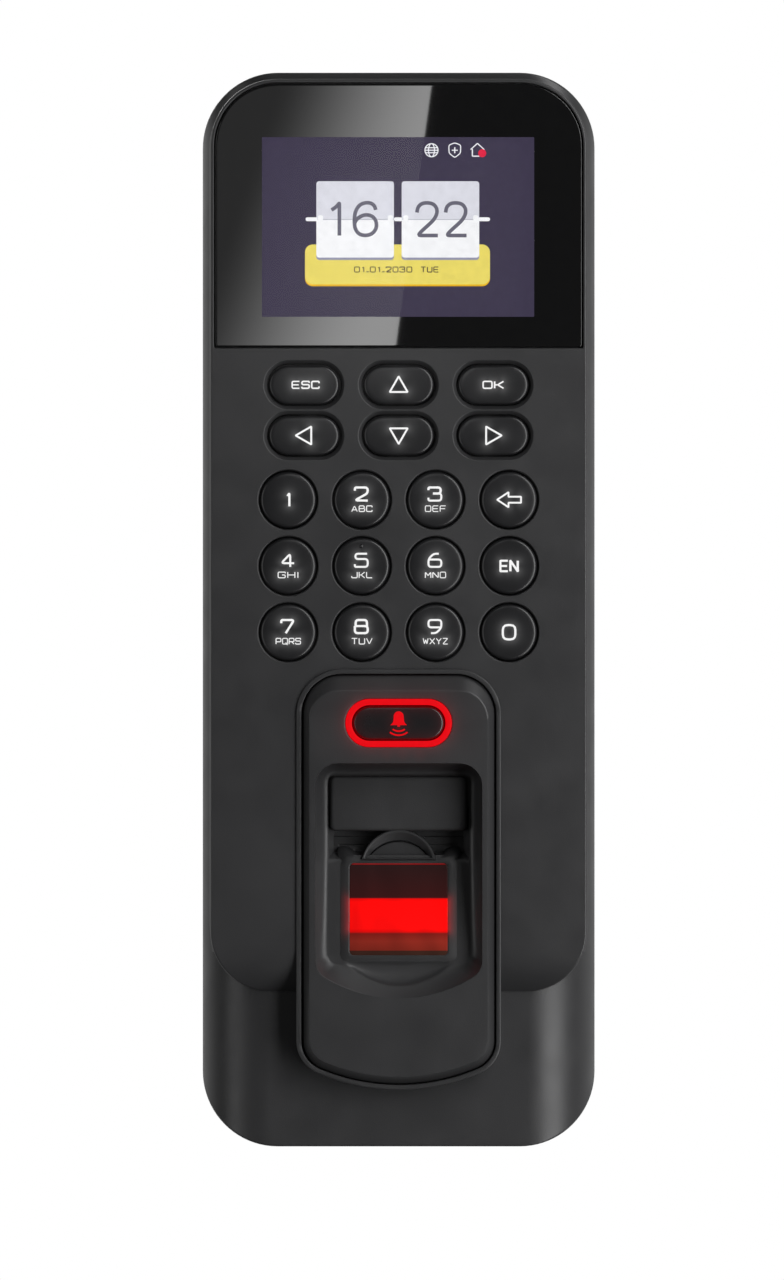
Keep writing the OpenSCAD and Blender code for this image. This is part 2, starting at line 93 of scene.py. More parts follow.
# Lower body and raised panel
HALF = COVER.right
PARTING = COVER.back
PANEL = GLASS.front
CORNER_R = 12.6
LOW = PANEL - 4
ROLL_R = 11.3
ROLL_X = HALF - ROLL_R
WALL = 2.2
PANEL_SIDE_STEP = 1.4
PANEL_TOP_STEP = 1.1
PANEL_HALF = HALF - PANEL_SIDE_STEP
PANEL_TOP = COVER.high - PANEL_TOP_STEP
PANEL_TOP_R = CORNER_R - PANEL_SIDE_STEP
PANEL_BOTTOM = -64.0
PANEL_CORNER_R = 10.0
PANEL_ROLL_R = 10.0
PANEL_ROLL_Z = PANEL_BOTTOM + 8
GLASS_GAP = 0.1
GLASS_R = 10.5
VIEW_HALF, VIEW_LOW, VIEW_HIGH, VIEW_X = 22.8, 49.05, 79.15, -0.1
KEY_FLANGE = 0.8
KEY_FLANGE_T = 1.2
KEY_GAP = 0.3

# Finger module
COLLAR_W = 0.85
COLLAR = COVER.front
COLLAR_FOOT = LOW - 2.8
MODULE_FLANGE = 0.9
FACE = MODULE.front
MODULE_HALF = 16.3
MODULE_TOP = MODULE.high + 0.15
SHOULDER_R = 6.7
SIDE_R = 5.0
BOTTOM_R = 34.0
BOTTOM_Z = MODULE.low - 0.15 + BOTTOM_R
SENSOR_TILT = math.radians(10)
SENSOR_Z = -50.25
SENSOR_DEPTH = 32.0
SENSOR_HALF_WIDTH = 8.2
SENSOR_HALF_HEIGHT = 7.75
PLATE_BOTTOM = -37.1
RECESS_RIM_R = 0.35

MENU_KEYS = ["key_esc", "key_up", "key_ok", "key_left", "key_down", "key_right"]
ROUND_KEYS = ["key_1", "key_2", "key_3", "key_back", "key_4", "key_5", "key_6", "key_language",
              "key_7", "key_8", "key_9", "key_0"]


# ---------------------------------------------------------------- outlines

def arc(x, z, radius, start, end, steps):
    """Points along an arc, both ends included; angles in degrees."""
    turn = np.radians(np.linspace(start, end, steps + 1))
    return np.column_stack([x + radius * np.cos(turn), z + radius * np.sin(turn)])


def joined(arcs, cuts):
    """Arcs joined by straight sides into a closed outline; cuts is how many points each side gets."""
    points = []
    for i, part in enumerate(arcs):
        after = arcs[(i + 1) % len(arcs)][0]
        side = np.linspace(part[-1], after, cuts[i] + 2)[1:-1]
        points += [part, side]
    return np.vstack(points)


class Outline:
    """A closed outline that can grow, as a whole or by a distance for each point."""

    def __init__(self, shape):
        self.base = shape(0.0)
        self.out = shape(1.0) - self.base

    def at(self, grow=0.0):
        return self.base + self.out * np.asarray(grow, dtype=float).reshape(-1, 1)


def rounded(half, low, high, r_high, r_low, x=0.0, steps=12, cuts=(0, 0, 0, 0)):
    """A rectangle with round corners; cuts are for the right, lower, left and upper sides."""
    def shape(grow):
        return joined([
            arc(x + half - r_high, high - r_high, r_high + grow, 90, 0, steps),
            arc(x + half - r_low, low + r_low, r_low + grow, 0, -90, steps),
            arc(x - half + r_low, low + r_low, r_low + grow, -90, -180, steps),
            arc(x - half + r_high, high - r_high, r_high + grow, 180, 90, steps)], cuts)
    return Outline(shape)


def oblong(x, z, width, height, steps=20, cuts=6):
    """A slot shape with half-round ends."""
    reach = (width - height) / 2

    def shape(grow):
        return joined([arc(x + reach, z, height / 2 + grow, 90, -90, steps),
                       arc(x - reach, z, height / 2 + grow, 270, 90, steps)], (cuts, cuts))
    return Outline(shape)


def circle(x, z, radius, steps=48):
    return Outline(lambda grow: arc(x, z, radius + grow, 0, 360, steps)[:-1])


def tongue(half, top, shoulder, side, bottom, bottom_z, steps=12, cuts=(24, 0, 24, 8)):
    """The module's outline: round shoulders, straight sides and a shallow arc below."""
    side_z = bottom_z - math.sqrt((bottom - side) ** 2 - (half - side) ** 2)
    turn = math.degrees(math.atan2(side_z - bottom_z, half - side))

    def shape(grow):
        lower = arc(0, bottom_z, bottom + grow, turn, -180 - turn, 2 * steps)[1:-1]
        corner = joined([arc(half - side, side_z, side + grow, 0, turn, steps), lower], (0, 0))
        return joined([
            arc(half - shoulder, top - shoulder, shoulder + grow, 90, 0, steps),
            np.vstack([corner, arc(side - half, side_z, side + grow, -180 - turn, -180, steps)]),
            arc(shoulder - half, top - shoulder, shoulder + grow, 180, 90, steps)],
            (cuts[0], cuts[2], cuts[3]))
    return Outline(shape)


def inside(points, loop):
    """Which of the points lie inside a closed loop."""
    x, z = np.asarray(points).T
    a = loop[:, None, :]
    b = np.roll(loop, -1, axis=0)[:, None, :]
    crosses = (a[..., 1] > z) != (b[..., 1] > z)
    rise = np.where(crosses, b[..., 1] - a[..., 1], 1.0)
    reach = (b[..., 0] - a[..., 0]) * (z - a[..., 1]) / rise + a[..., 0]
    return (crosses & (x < reach)).sum(axis=0) % 2 == 1


def rounding(radius, steps=3):
    """(inset, drop) along a rounded edge, from the side of the wall to the face."""
    turns = np.linspace(0, math.pi / 2, steps + 1)
    return [(radius * (1 - math.cos(t)), radius * (1 - math.sin(t))) for t in turns]


# ---------------------------------------------------------------- solids

class Skin:
    """The vertices and faces of one piece while it is being made."""

    def __init__(self):
        self.points = []
        self.faces = []

    def ring(self, line, depth):
        """Adds a closed ring of points; depth is one number or one for each point."""
        start = len(self.points)
        depths = np.broadcast_to(depth, len(line))
        self.points += [(p[0], d, p[1]) for p, d in zip(line, depths)]
        return list(range(start, len(self.points)))

    def band(self, one, other):
        count = len(one)
        for i in range(count):
            j = (i + 1) % count
            self.faces.append((one[i], one[j], other[j], other[i]))

    def bands(self, rings):
        """Adds the rings, given as (line, depth), joins each to the next and returns them all."""
        made = [self.ring(line, depth) for line, depth in rings]
        for one, other in zip(made, made[1:]):
            self.band(one, other)
        return made

    def fill(self, outer, holes=(), depth=None, inner=()):
        """Fills between an outer ring and its holes; a function gives inner points their depth."""
        loops = [outer, *holes]
        index = [i for loop in loops for i in loop]
        flat = [Vector((self.points[i][0], self.points[i][2])) for i in index]
        flat += [Vector(p) for p in inner]
        edges = []
        start = 0
        for loop in loops:
            edges += [(start + i, start + (i + 1) % len(loop)) for i in range(len(loop))]
            start += len(loop)
        places, _, triangles, origin, _, _ = delaunay_2d_cdt(flat, edges, [], 0, 1e-7)
        place = np.array([tuple(p) for p in places])
        triangles = np.array([t for t in triangles if len(t) == 3])
        middle = place[triangles].mean(axis=1)
        keep = inside(middle, np.array([flat[i] for i in range(len(outer))]))
        start = len(outer)
        for hole in holes:
            keep &= ~inside(middle, np.array([flat[start + i] for i in range(len(hole))]))
            start += len(hole)
        known = {}
        for number, sources in enumerate(origin):
            if sources and sources[0] < len(index):
                known[number] = index[sources[0]]
        for triangle in triangles[keep]:
            corners = []
            for number in triangle:
                number = int(number)
                if number not in known:
                    x, z = place[number]
                    known[number] = len(self.points)
                    self.points.append((x, float(depth(x, z)), z))
                corners.append(known[number])
            self.faces.append(tuple(corners))

    def mesh(self, name):
        mesh = bpy.data.meshes.new(name)
        places = [(x * MM, -depth * MM, z * MM) for x, depth, z in self.points]
        mesh.from_pydata(places, [], self.faces)
        form = bmesh.new()
        form.from_mesh(mesh)
        bmesh.ops.recalc_face_normals(form, faces=form.faces)
        form.to_mesh(mesh)
        form.free()
        return mesh


def closed(rings):
    """A solid whose first and last rings are filled."""
    skin = Skin()
    made = skin.bands(rings)
    skin.fill(made[0])
    skin.fill(made[-1])
    return skin


def framed(outer_rings, inner_rings):
    """A solid with a hole through it."""
    skin = Skin()
    outer, inner = skin.bands(outer_rings), skin.bands(inner_rings)
    skin.fill(outer[0], [inner[0]])
    skin.fill(outer[-1], [inner[-1]])
    return skin


def scene_object(name, data):
    """An object in the scene for a mesh, a light or a camera."""
    obj = bpy.data.objects.new(name, data)
    bpy.context.scene.collection.objects.link(obj)
    return obj


def shade(obj, angle=38):
    """Smooth shading with hard edges past the angle, and flat faces kept flat."""
    obj.data.shade_smooth()
    obj.data.set_sharp_from_angle(angle=math.radians(angle))
    weight = obj.modifiers.new("weighted normals", "WEIGHTED_NORMAL")
    weight.keep_sharp = True
    weight.weight = 70


def exact_normals(obj, surfaces):
    """Gives the corners that lie on a known surface its own normal, and the rest weighted ones."""
    graph = bpy.context.evaluated_depsgraph_get()
    mesh = bpy.data.meshes.new_from_object(obj.evaluated_get(graph), depsgraph=graph)
    obj.modifiers.clear()
    obj.data = mesh
    count = len(mesh.vertices)
    places = np.empty(count * 3)
    mesh.vertices.foreach_get("co", places)
    x, y, z = places.reshape(-1, 3).T / MM
    normals = np.array([n.vector[:] for n in mesh.corner_normals])
    corner_vertex = np.empty(len(mesh.loops), dtype=int)
    mesh.loops.foreach_get("vertex_index", corner_vertex)
    step = 0.01
    for surface in surfaces:
        here = surface(x, z)
        tilt_x = (surface(x + step, z) - surface(x - step, z)) / (2 * step)
        tilt_z = (surface(x, z + step) - surface(x, z - step)) / (2 * step)
        exact = np.column_stack([-tilt_x, -np.ones(count), -tilt_z])
        exact /= np.linalg.norm(exact, axis=1)[:, None]
        on_it = np.abs(-y - here) < 0.004
        for face in mesh.polygons:
            corners = range(face.loop_start, face.loop_start + face.loop_total)
            vertices = corner_vertex[face.loop_start:face.loop_start + face.loop_total]
            if on_it[vertices].all() and Vector(exact[vertices[0]]).dot(face.normal) > 0.7:
                for corner, vertex in zip(corners, vertices):
                    normals[corner] = exact[vertex]
    mesh.normals_split_custom_set([tuple(n) for n in normals])


def piece(name, shape, slot, body="terminal", stands_for=(), angle=38, material=None):
    """A finished piece from a Skin or a mesh, riding on its body, in its slot's material."""
    mesh = shape.mesh(name) if isinstance(shape, Skin) else shape
    obj = scene_object(name, mesh)
    mesh.materials.clear()
    mesh.materials.append(material or MATERIALS[slot])
    shade(obj, angle)
    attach(obj, body)
    if stands_for:
        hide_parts(*stands_for)
    return obj


def combined(name, base, added=(), taken=()):
    """One mesh from solids that are added to a base solid and others that are taken away."""
    parts = [scene_object(f"{name}_{i}", skin.mesh(name)) for i, skin in
             enumerate([base, *added, *taken])]
    for i, other in enumerate(parts[1:]):
        step = parts[0].modifiers.new("step", "BOOLEAN")
        step.operation = "UNION" if i < len(added) else "DIFFERENCE"
        step.solver = "EXACT"
        step.object = other
    graph = bpy.context.evaluated_depsgraph_get()
    mesh = bpy.data.meshes.new_from_object(parts[0].evaluated_get(graph))
    for part in parts:
        bpy.data.objects.remove(part)
    return mesh


def prism(line, back, front, radius=0.0, back_radius=0.0):
    """A closed plate between two depths, with rounded rims where a radius is given."""
    rings = [(line.at(-inset), back + drop) for inset, drop in reversed(rounding(back_radius))] \
        if back_radius else [(line.at(), back)]
    rings += [(line.at(-inset), front - drop) for inset, drop in rounding(radius)] \
        if radius else [(line.at(), front)]
    return closed(rings)


# ---------------------------------------------------------------- materials

def linear(red, green, blue):
    """An 8-bit screen colour as scene-linear light."""
    def one(value):
        value = value / 255
        return value / 12.92 if value <= 0.04045 else ((value + 0.055) / 1.055) ** 2.4
    return (one(red), one(green), one(blue), 1.0)


def map_range(tree, value, from_low, from_high, to_low, to_high, smooth=False):
    """Maps a value between two limits onto two others."""
    node = tree.nodes.new("ShaderNodeMapRange")
    if smooth:
        node.interpolation_type = "SMOOTHSTEP"
    for socket, number in (("From Min", from_low), ("From Max", from_high), ("To Min", to_low),
                           ("To Max", to_high)):
        node.inputs[socket].default_value = number
    tree.links.new(value, node.inputs["Value"])
    return node.outputs["Result"]


def coordinates(tree, kind):
    """The X, Y and Z of a texture coordinate."""
    place = tree.nodes.new("ShaderNodeTexCoord")
    split = tree.nodes.new("ShaderNodeSeparateXYZ")
    tree.links.new(place.outputs[kind], split.inputs["Vector"])
    return split.outputs


class Finish:
    """A node material on one Principled shader, with helpers for its noise, bump and painted glow."""

    def __init__(self, name, color, roughness, **sockets):
        self.material = bpy.data.materials.new(name)
        self.material.use_nodes = True
        self.tree = self.material.node_tree
        self.nodes, self.links = self.tree.nodes, self.tree.links
        self.shader = self.nodes["Principled BSDF"]
        self.set("Base Color", (*color[:3], 1.0))
        self.set("Roughness", roughness)
        for socket, value in sockets.items():
            self.set(socket.replace("_", " "), value)
        self.place = self.nodes.new("ShaderNodeTexCoord").outputs["Object"]

    def set(self, socket, value):
        self.shader.inputs[socket].default_value = value

    def noise(self, scale, detail=3.0, stretch=(1, 1, 1)):
        """Noise at so many cells to the metre."""
        source = self.place
        if stretch != (1, 1, 1):
            mapping = self.nodes.new("ShaderNodeMapping")
            mapping.inputs["Scale"].default_value = stretch
            self.links.new(source, mapping.inputs["Vector"])
            source = mapping.outputs["Vector"]
        noise = self.nodes.new("ShaderNodeTexNoise")
        noise.inputs["Scale"].default_value = scale
        noise.inputs["Detail"].default_value = detail
        self.links.new(source, noise.inputs["Vector"])
        return noise.outputs["Fac"]

    def spread(self, value, low, high, lower=0.3, upper=0.7):
        """Maps a value between two limits onto low to high."""
        return map_range(self.tree, value, lower, upper, low, high)

    def ramp(self, value, stops):
        """Colours along a value from 0 to 1, blended between the stops."""
        node = self.nodes.new("ShaderNodeValToRGB")
        ramp = node.color_ramp
        ramp.interpolation = "LINEAR"
        while len(ramp.elements) < len(stops):
            ramp.elements.new(1.0)
        for element, (place, color) in zip(ramp.elements, stops):
            element.position = place
            element.color = (*color[:3], 1.0)
        self.links.new(value, node.inputs["Fac"])
        return node.outputs["Color"]

    def bump(self, value, height):
        """Relief of so many metres, on top of any that is there."""
        node = self.nodes.new("ShaderNodeBump")
        node.inputs["Strength"].default_value = 1.0
        node.inputs["Distance"].default_value = height
        self.links.new(value, node.inputs["Height"])
        if self.shader.inputs["Normal"].is_linked:
            self.links.new(self.shader.inputs["Normal"].links[0].from_socket, node.inputs["Normal"])
        self.links.new(node.outputs["Normal"], self.shader.inputs["Normal"])

    def vary(self, color, other, scale, detail=3.0, stretch=(1, 1, 1)):
        """Base colour that drifts between two colours."""
        value = self.noise(scale, detail, stretch)
        self.links.new(self.ramp(value, [(0.35, color), (0.65, other)]),
                       self.shader.inputs["Base Color"])

    def rough(self, low, high, scale, detail=3.0, stretch=(1, 1, 1)):
        """Roughness that drifts between two values."""
        value = self.spread(self.noise(scale, detail, stretch), low, high)
        self.links.new(value, self.shader.inputs["Roughness"])

    def glow(self, color, strength):
        """Painted light: emission wherever the mesh's own glow value is above zero, standing in for
        light that spills onto it.
        """
        self.set("Emission Color", color)
        source = self.nodes.new("ShaderNodeAttribute")
        source.attribute_name = "glow"
        self.links.new(self.spread(source.outputs["Fac"], 0, strength, 0, 1),
                       self.shader.inputs["Emission Strength"])


def tinted(color, factor):
    return tuple(min(1.0, c * factor) for c in color[:3])


def plastic(name, color, roughness, grain=0.000012, grain_scale=5200, drift=0.12, **sockets):
    """Moulded plastic: fine spark texture, slow drift of tone and gloss, faint handling marks."""
    finish = Finish(name, color, roughness, **sockets)
    finish.vary(tinted(color, 1 - drift), tinted(color, 1 + drift), 42)
    finish.rough(roughness - 0.05, roughness + 0.05, 160, 5.0)
    finish.bump(finish.noise(grain_scale, 2.0), grain)
    finish.bump(finish.noise(70, 1.0), 0.00002)
    return finish


def metal(name, color, roughness, stretch=(1, 1, 14)):
    """Plated or brushed metal with fine lines and darker handled areas."""
    finish = Finish(name, color, roughness, Metallic=1.0)
    finish.vary(tinted(color, 0.92), tinted(color, 1.05), 120, 4.0)
    finish.rough(roughness - 0.08, roughness + 0.1, 900, 3.0, stretch)
    finish.bump(finish.noise(2600, 2.0, stretch), 0.000004)
    return finish


def lit(name, color, strength=1.0, roughness=0.4):
    """Something that gives light, with slight unevenness."""
    finish = Finish(name, (0.005, 0.005, 0.005), roughness)
    finish.set("Specular IOR Level", 0.12)
    finish.set("Emission Color", color)
    finish.links.new(finish.spread(finish.noise(900, 2.0), strength * 0.96, strength * 1.04),
                     finish.shader.inputs["Emission Strength"])
    return finish.material


DARK = (0.0285, 0.0285, 0.0297)
RED = linear(232, 0, 14)
WHITE = (1.0, 1.0, 1.0, 1.0)


def cover_finish_painted_glow(name, color=DARK, roughness=0.42, glow=0.05):
    """The case's plastic, with red light from the bell ring painted on as emission where its glow
    value says so.
    """
    finish = plastic(name, color, roughness, drift=0.05)
    # Painted red light: emission in place of the bell ring's spill onto the plastic
    finish.glow((1.0, 0.01, 0.02, 1.0), glow)
    return finish.material


def gloss_finish_painted_halo(name, color, roughness, light):
    """Smooth key plastic, with a painted halo of backlight round its legend: emission where the glow
    value is high.
    """
    finish = plastic(name, color, roughness, grain=0.000001, drift=0.06)
    finish.glow(light, 0.075)
    return finish.material


def board_finish():
    """Solder mask over copper tracks."""
    finish = Finish("board", (0.01, 0.1, 0.035), 0.35)
    cells = finish.nodes.new("ShaderNodeTexVoronoi")
    cells.feature = "DISTANCE_TO_EDGE"
    cells.inputs["Scale"].default_value = 420
    finish.links.new(finish.place, cells.inputs["Vector"])
    tracks = finish.ramp(cells.outputs["Distance"],
                         [(0.0, (0.02, 0.19, 0.07)), (0.09, (0.008, 0.08, 0.03))])
    finish.links.new(tracks, finish.shader.inputs["Base Color"])
    finish.bump(cells.outputs["Distance"], 0.00002)
    return finish.material


def glass_finish():
    finish = Finish("window_glass", (0.96, 0.97, 0.98), 0.0, IOR=1.2, Transmission_Weight=1.0)
    finish.vary((0.955, 0.965, 0.97), (0.97, 0.975, 0.98), 30)
    return finish.material


def print_finish():
    """Black print bonded to the back of the glass: it mirrors more than the bare glass does."""
    finish = Finish("black_print", (0.002, 0.002, 0.0022), 0.03, IOR=1.95)
    finish.vary((0.0018, 0.0018, 0.002), (0.0024, 0.0024, 0.0026), 400)
    return finish.material


def sensor_painted_light_finish(low, high):
    """The prism's face with its light painted in as emission: a bright band, dark above it and dim
    below.
    """
    finish = Finish("sensor_glass", (0.01, 0.004, 0.004), 0.16, IOR=1.5, Specular_IOR_Level=0.2)
    height = finish.spread(coordinates(finish.tree, "Object")["Z"], 0, 1, low * MM, high * MM)

    def at(z):
        return (z - low) / (high - low)
    blobs = finish.spread(finish.noise(190, 1.0, (1, 1, 0.4)), 0.75, 1.25)
    stops = [(0.0, linear(50, 30, 22)), (at(-57.2), linear(50, 30, 22)),
             (at(-57.1), linear(120, 34, 22)), (at(-55.6), linear(136, 38, 26)),
             (at(-54.3), linear(120, 22, 16)), (at(-54.0), linear(225, 0, 0)),
             (at(-53.5), linear(255, 2, 2)), (at(-49.0), linear(250, 0, 0)),
             (at(-48.5), linear(220, 0, 0)), (at(-48.3), linear(46, 14, 14)),
             (at(-42.8), linear(30, 16, 16)), (at(-42.5), linear(190, 6, 10)),
             (1.0, linear(190, 6, 10))]
    # The prism's light and its dark zones are painted in as emission colour by height
    finish.links.new(finish.ramp(height, stops), finish.shader.inputs["Emission Color"])
    finish.links.new(blobs, finish.shader.inputs["Emission Strength"])
    return finish.material


MATERIALS = {
    "cover_plastic": cover_finish_painted_glow("cover_plastic"),
    "menu_key_plastic": gloss_finish_painted_halo("menu_key_plastic", (0.012, 0.012, 0.013), 0.34, WHITE),
    "number_key_plastic": gloss_finish_painted_halo("number_key_plastic", (0.010, 0.010, 0.011), 0.33, WHITE),
    "button_plastic": gloss_finish_painted_halo("button_plastic", (0.012, 0.012, 0.013), 0.24, RED),
    "window_glass": glass_finish(),
    "sensor_glass": sensor_painted_light_finish(SENSOR_Z - SENSOR_HALF_HEIGHT, SENSOR_Z + SENSOR_HALF_HEIGHT),
    "screen": lit("screen", linear(64, 58, 78)),
    "red_light": lit("red_light", RED, 1.0, 0.25),
    "light": lit("light", WHITE, 0.92),
    "board": board_finish(),
}
PLASTICS = {
    "cover_plastic_dark": ((0.024, 0.024, 0.0255), 0.55, 0.00003),
    "plate_plastic": ((0.02, 0.02, 0.021), 0.5, 0.00002),
    "part_plastic": ((0.014, 0.014, 0.015), 0.5),
    "block_plastic": ((0.05, 0.26, 0.1), 0.42),
    "plunger_plastic": ((0.75, 0.74, 0.7), 0.3),
    "seal_rubber": ((0.015, 0.015, 0.015), 0.7, 0.00004, 2600),
    "tape": ((0.02, 0.02, 0.02), 0.8, 0.00006, 1500),
    "ribbon": ((0.45, 0.2, 0.04), 0.35),
}
METALS = {
    "plate_steel": ((0.42, 0.43, 0.44), 0.42),
    "frame_steel": ((0.55, 0.56, 0.57), 0.35),
    "contact_steel": ((0.6, 0.6, 0.6), 0.25),
    "screw_steel": ((0.35, 0.35, 0.36), 0.3, (1, 1, 1)),
}
for name, recipe in PLASTICS.items():
    MATERIALS[name] = plastic(name, *recipe).material
for name, recipe in METALS.items():
    MATERIALS[name] = metal(name, *recipe).material
MATERIALS["silicone"] = plastic("silicone", (0.62, 0.62, 0.6), 0.5,
                                Subsurface_Weight=0.2).material
BLACK_PRINT = print_finish()
# The sensor surround's plastic, with strong painted red glow
SURROUND_PAINTED_GLOW = cover_finish_painted_glow("surround_plastic", (0.02, 0.02, 0.021), 0.5, 0.32)


# ---------------------------------------------------------------- covers

def low_depth(x, _z=0.0):
    """The lower body's face: flat in the middle, rolled towards both sides."""
    reach = np.clip(np.abs(x) - ROLL_X, 0, ROLL_R)
    return LOW - ROLL_R + np.sqrt(ROLL_R ** 2 - reach ** 2)


def panel_depth(_x, z):
    """The raised panel's face: flat, then rolled down at its lower end to just above the body."""
    reach = 0.988 * np.clip(PANEL_ROLL_Z - z, 0, PANEL_ROLL_R)
    return PANEL - PANEL_ROLL_R + np.sqrt(PANEL_ROLL_R ** 2 - reach ** 2)


def face_points(columns, rows, outer, margin):
    """Grid points that lie inside an outline, clear of its edge."""
    grid = np.array([(x, z) for x in columns for z in rows])
    return grid[inside(grid, outer.at(-margin))]


def lower_body():
    """The body behind the panel, whose sides roll back towards the wall."""
    line = rounded(HALF, COVER.low, COVER.high, CORNER_R, CORNER_R, steps=20, cuts=(30, 14, 30, 14))
    steep = np.clip((np.abs(line.base[:, 0]) - ROLL_X) / ROLL_R, 0, 1)
    radius = 0.03 + 0.3 * np.sqrt(1 - steep ** 2)
    rings = [(line.at(-0.25), PARTING), (line.at(-0.2), PARTING + 0.05), (line.at(), PARTING + 0.3)]
    for inset, drop in rounding(1.0):
        place = line.at(-radius * inset)
        rings.append((place, low_depth(place[:, 0]) - radius * drop))
    for turn in np.radians(np.arange(84, -1, -6)):
        place = line.at(-radius - (ROLL_R - radius) * (1 - math.sin(turn)))
        rings.append((place, low_depth(place[:, 0])))
    return closed(rings)


def key_pocket(skin, node):
    """The opening in the panel for one key: a soft rim, a slope and a straight wall."""
    key = Extent(node)
    width = key.width - 2 * KEY_FLANGE + 2 * KEY_GAP
    height = key.height - 2 * KEY_FLANGE + 2 * KEY_GAP
    if node in MENU_KEYS:
        line = oblong(key.x, key.z, width, height)
        path = [(0.66, 0.0), (0.58, 0.02), (0.5, 0.1), (0.08, 0.72), (0.0, 0.86)]
    else:
        line = circle(key.x, key.z, width / 2)
        path = [(0.24, 0.0), (0.16, 0.03), (0.06, 0.14), (0.0, 0.34)]
    rings = [(line.at(grow), PANEL - drop) for grow, drop in path] + [(line.at(), PANEL - 3)]
    made = skin.bands(rings)
    skin.fill(made[-1])
    return made[0]


def raised_panel():
    """The slab in front of the lower body, with openings for the window and the keys."""
    line = rounded(PANEL_HALF, PANEL_BOTTOM, PANEL_TOP, PANEL_TOP_R, PANEL_CORNER_R, steps=18,
                   cuts=(26, 8, 26, 8))
    x, z = line.base.T
    height = panel_depth(x, z) - low_depth(x)
    radius = np.minimum(0.3, 0.45 * height)
    skin = Skin()
    rings = [(line.at(), PARTING + 2)]
    for inset, drop in rounding(1.0):
        place = line.at(-radius * inset)
        rings.append((place, panel_depth(*place.T) - radius * drop))
    made = skin.bands(rings)
    skin.fill(made[0])
    window = rounded(GLASS.width / 2 + GLASS_GAP, GLASS.low - GLASS_GAP, GLASS.high + GLASS_GAP,
                     GLASS_R + GLASS_GAP, 0.25, steps=16)
    pocket = skin.bands([(window.at(0.12), PANEL), (window.at(0.04), PANEL - 0.05),
                         (window.at(), PANEL - 0.15), (window.at(), GLASS.back - 0.2)])
    skin.fill(pocket[-1])
    holes = [pocket[0]] + [key_pocket(skin, node) for node in MENU_KEYS + ROUND_KEYS]
    turns = np.radians(np.arange(0, 56, 4))
    rows = PANEL_ROLL_Z - PANEL_ROLL_R * np.sin(turns)
    rows = rows[rows > PANEL_BOTTOM + 0.4]
    columns = np.linspace(-PANEL_HALF, PANEL_HALF, 25)
    roll = face_points(columns, np.append(rows, PANEL_ROLL_Z + 1.5), line, 0.5)
    skin.fill(made[-1], holes, depth=panel_depth, inner=roll)
    return skin


def module_line(grow):
    """The module opening's outline, grown."""
    return tongue(MODULE_HALF + grow, MODULE_TOP + grow, SHOULDER_R + grow, SIDE_R + grow,
                  BOTTOM_R + grow, BOTTOM_Z)


def front_cover():
    """The case's front: the lower body, the panel and the module's collar, hollow behind."""
    outline = module_line(0.0)
    collar = closed([(outline.at(COLLAR_W), COLLAR_FOOT)]
                    + [(outline.at(COLLAR_W - inset), COLLAR - drop)
                       for inset, drop in rounding(0.22)])
    opening = closed([(outline.at(), PARTING - 3), (outline.at(), COLLAR - 0.2),
                      (outline.at(0.05), COLLAR - 0.06), (outline.at(0.2), COLLAR + 0.04),
                      (outline.at(0.2), COLLAR + 1)])
    hollow = prism(rounded(PANEL_HALF - WALL, PANEL_ROLL_Z, PANEL_TOP - WALL, PANEL_TOP_R - WALL,
                           PANEL_TOP_R - WALL), PARTING - 2, PANEL - WALL)
    low_hollow = Skin()
    line = rounded(HALF - WALL, COVER.low + WALL, COVER.high - WALL, CORNER_R - WALL,
                   CORNER_R - WALL, cuts=(10, 6, 10, 6))
    low_made = low_hollow.bands([(line.at(), PARTING - 1),
                                 (line.at(), low_depth(line.base[:, 0]) - WALL - 0.4)])
    low_hollow.fill(low_made[0])
    columns = np.linspace(-HALF + 4, HALF - 4, 25)
    low_hollow.fill(low_made[1], depth=lambda x, z: low_depth(x) - WALL - 0.4,
                    inner=face_points(columns, np.linspace(-84, 84, 15), line, 0.8))
    behind = 1.4
    screen_opening = prism(rounded(VIEW_HALF + behind, VIEW_LOW - behind - 0.05,
                                   VIEW_HIGH + behind + 0.05, 1, 1), PANEL - WALL - 2, PANEL - 0.5)
    mesh = combined("front_cover", lower_body(), [raised_panel(), collar],
                    [opening, hollow, low_hollow, screen_opening])
    obj = piece("front_shell", mesh, "cover_plastic", stands_for=["front_cover"])
    exact_normals(obj, [low_depth, panel_depth])
    return obj


# ---------------------------------------------------------------- finger module

def floor_depth(x, z):
    """The floor of the finger space: level behind the plate, then along the tilted sensor."""
    slope = SENSOR_DEPTH + (SENSOR_Z - z) * math.tan(SENSOR_TILT) - 0.15
    ditch = np.clip((z + 42.0) / 1.5, 0, 1) * np.clip((-34.0 - z) / 1.5, 0, 1)
    ditch = ditch * np.clip((11.3 - np.abs(x)) / 0.5, 0, 1)
    return np.maximum(slope, PLATE.back + 0.25) - 2.6 * ditch


def scoop(x, z):
    """How deep the lens-shaped scoop below the window is: steep at its top, shallow lower down."""
    across = np.clip(1 - (x / 8.6) ** 2, 0, 1)
    top, bottom = -59.4 + 0.9 * across, -59.4 - 3.6 * across
    share = np.clip((z - bottom) / np.maximum(top - bottom, 0.01), 0, 1)
    return 0.6 * np.sqrt(across) * np.sqrt(4 * share * (1 - share))


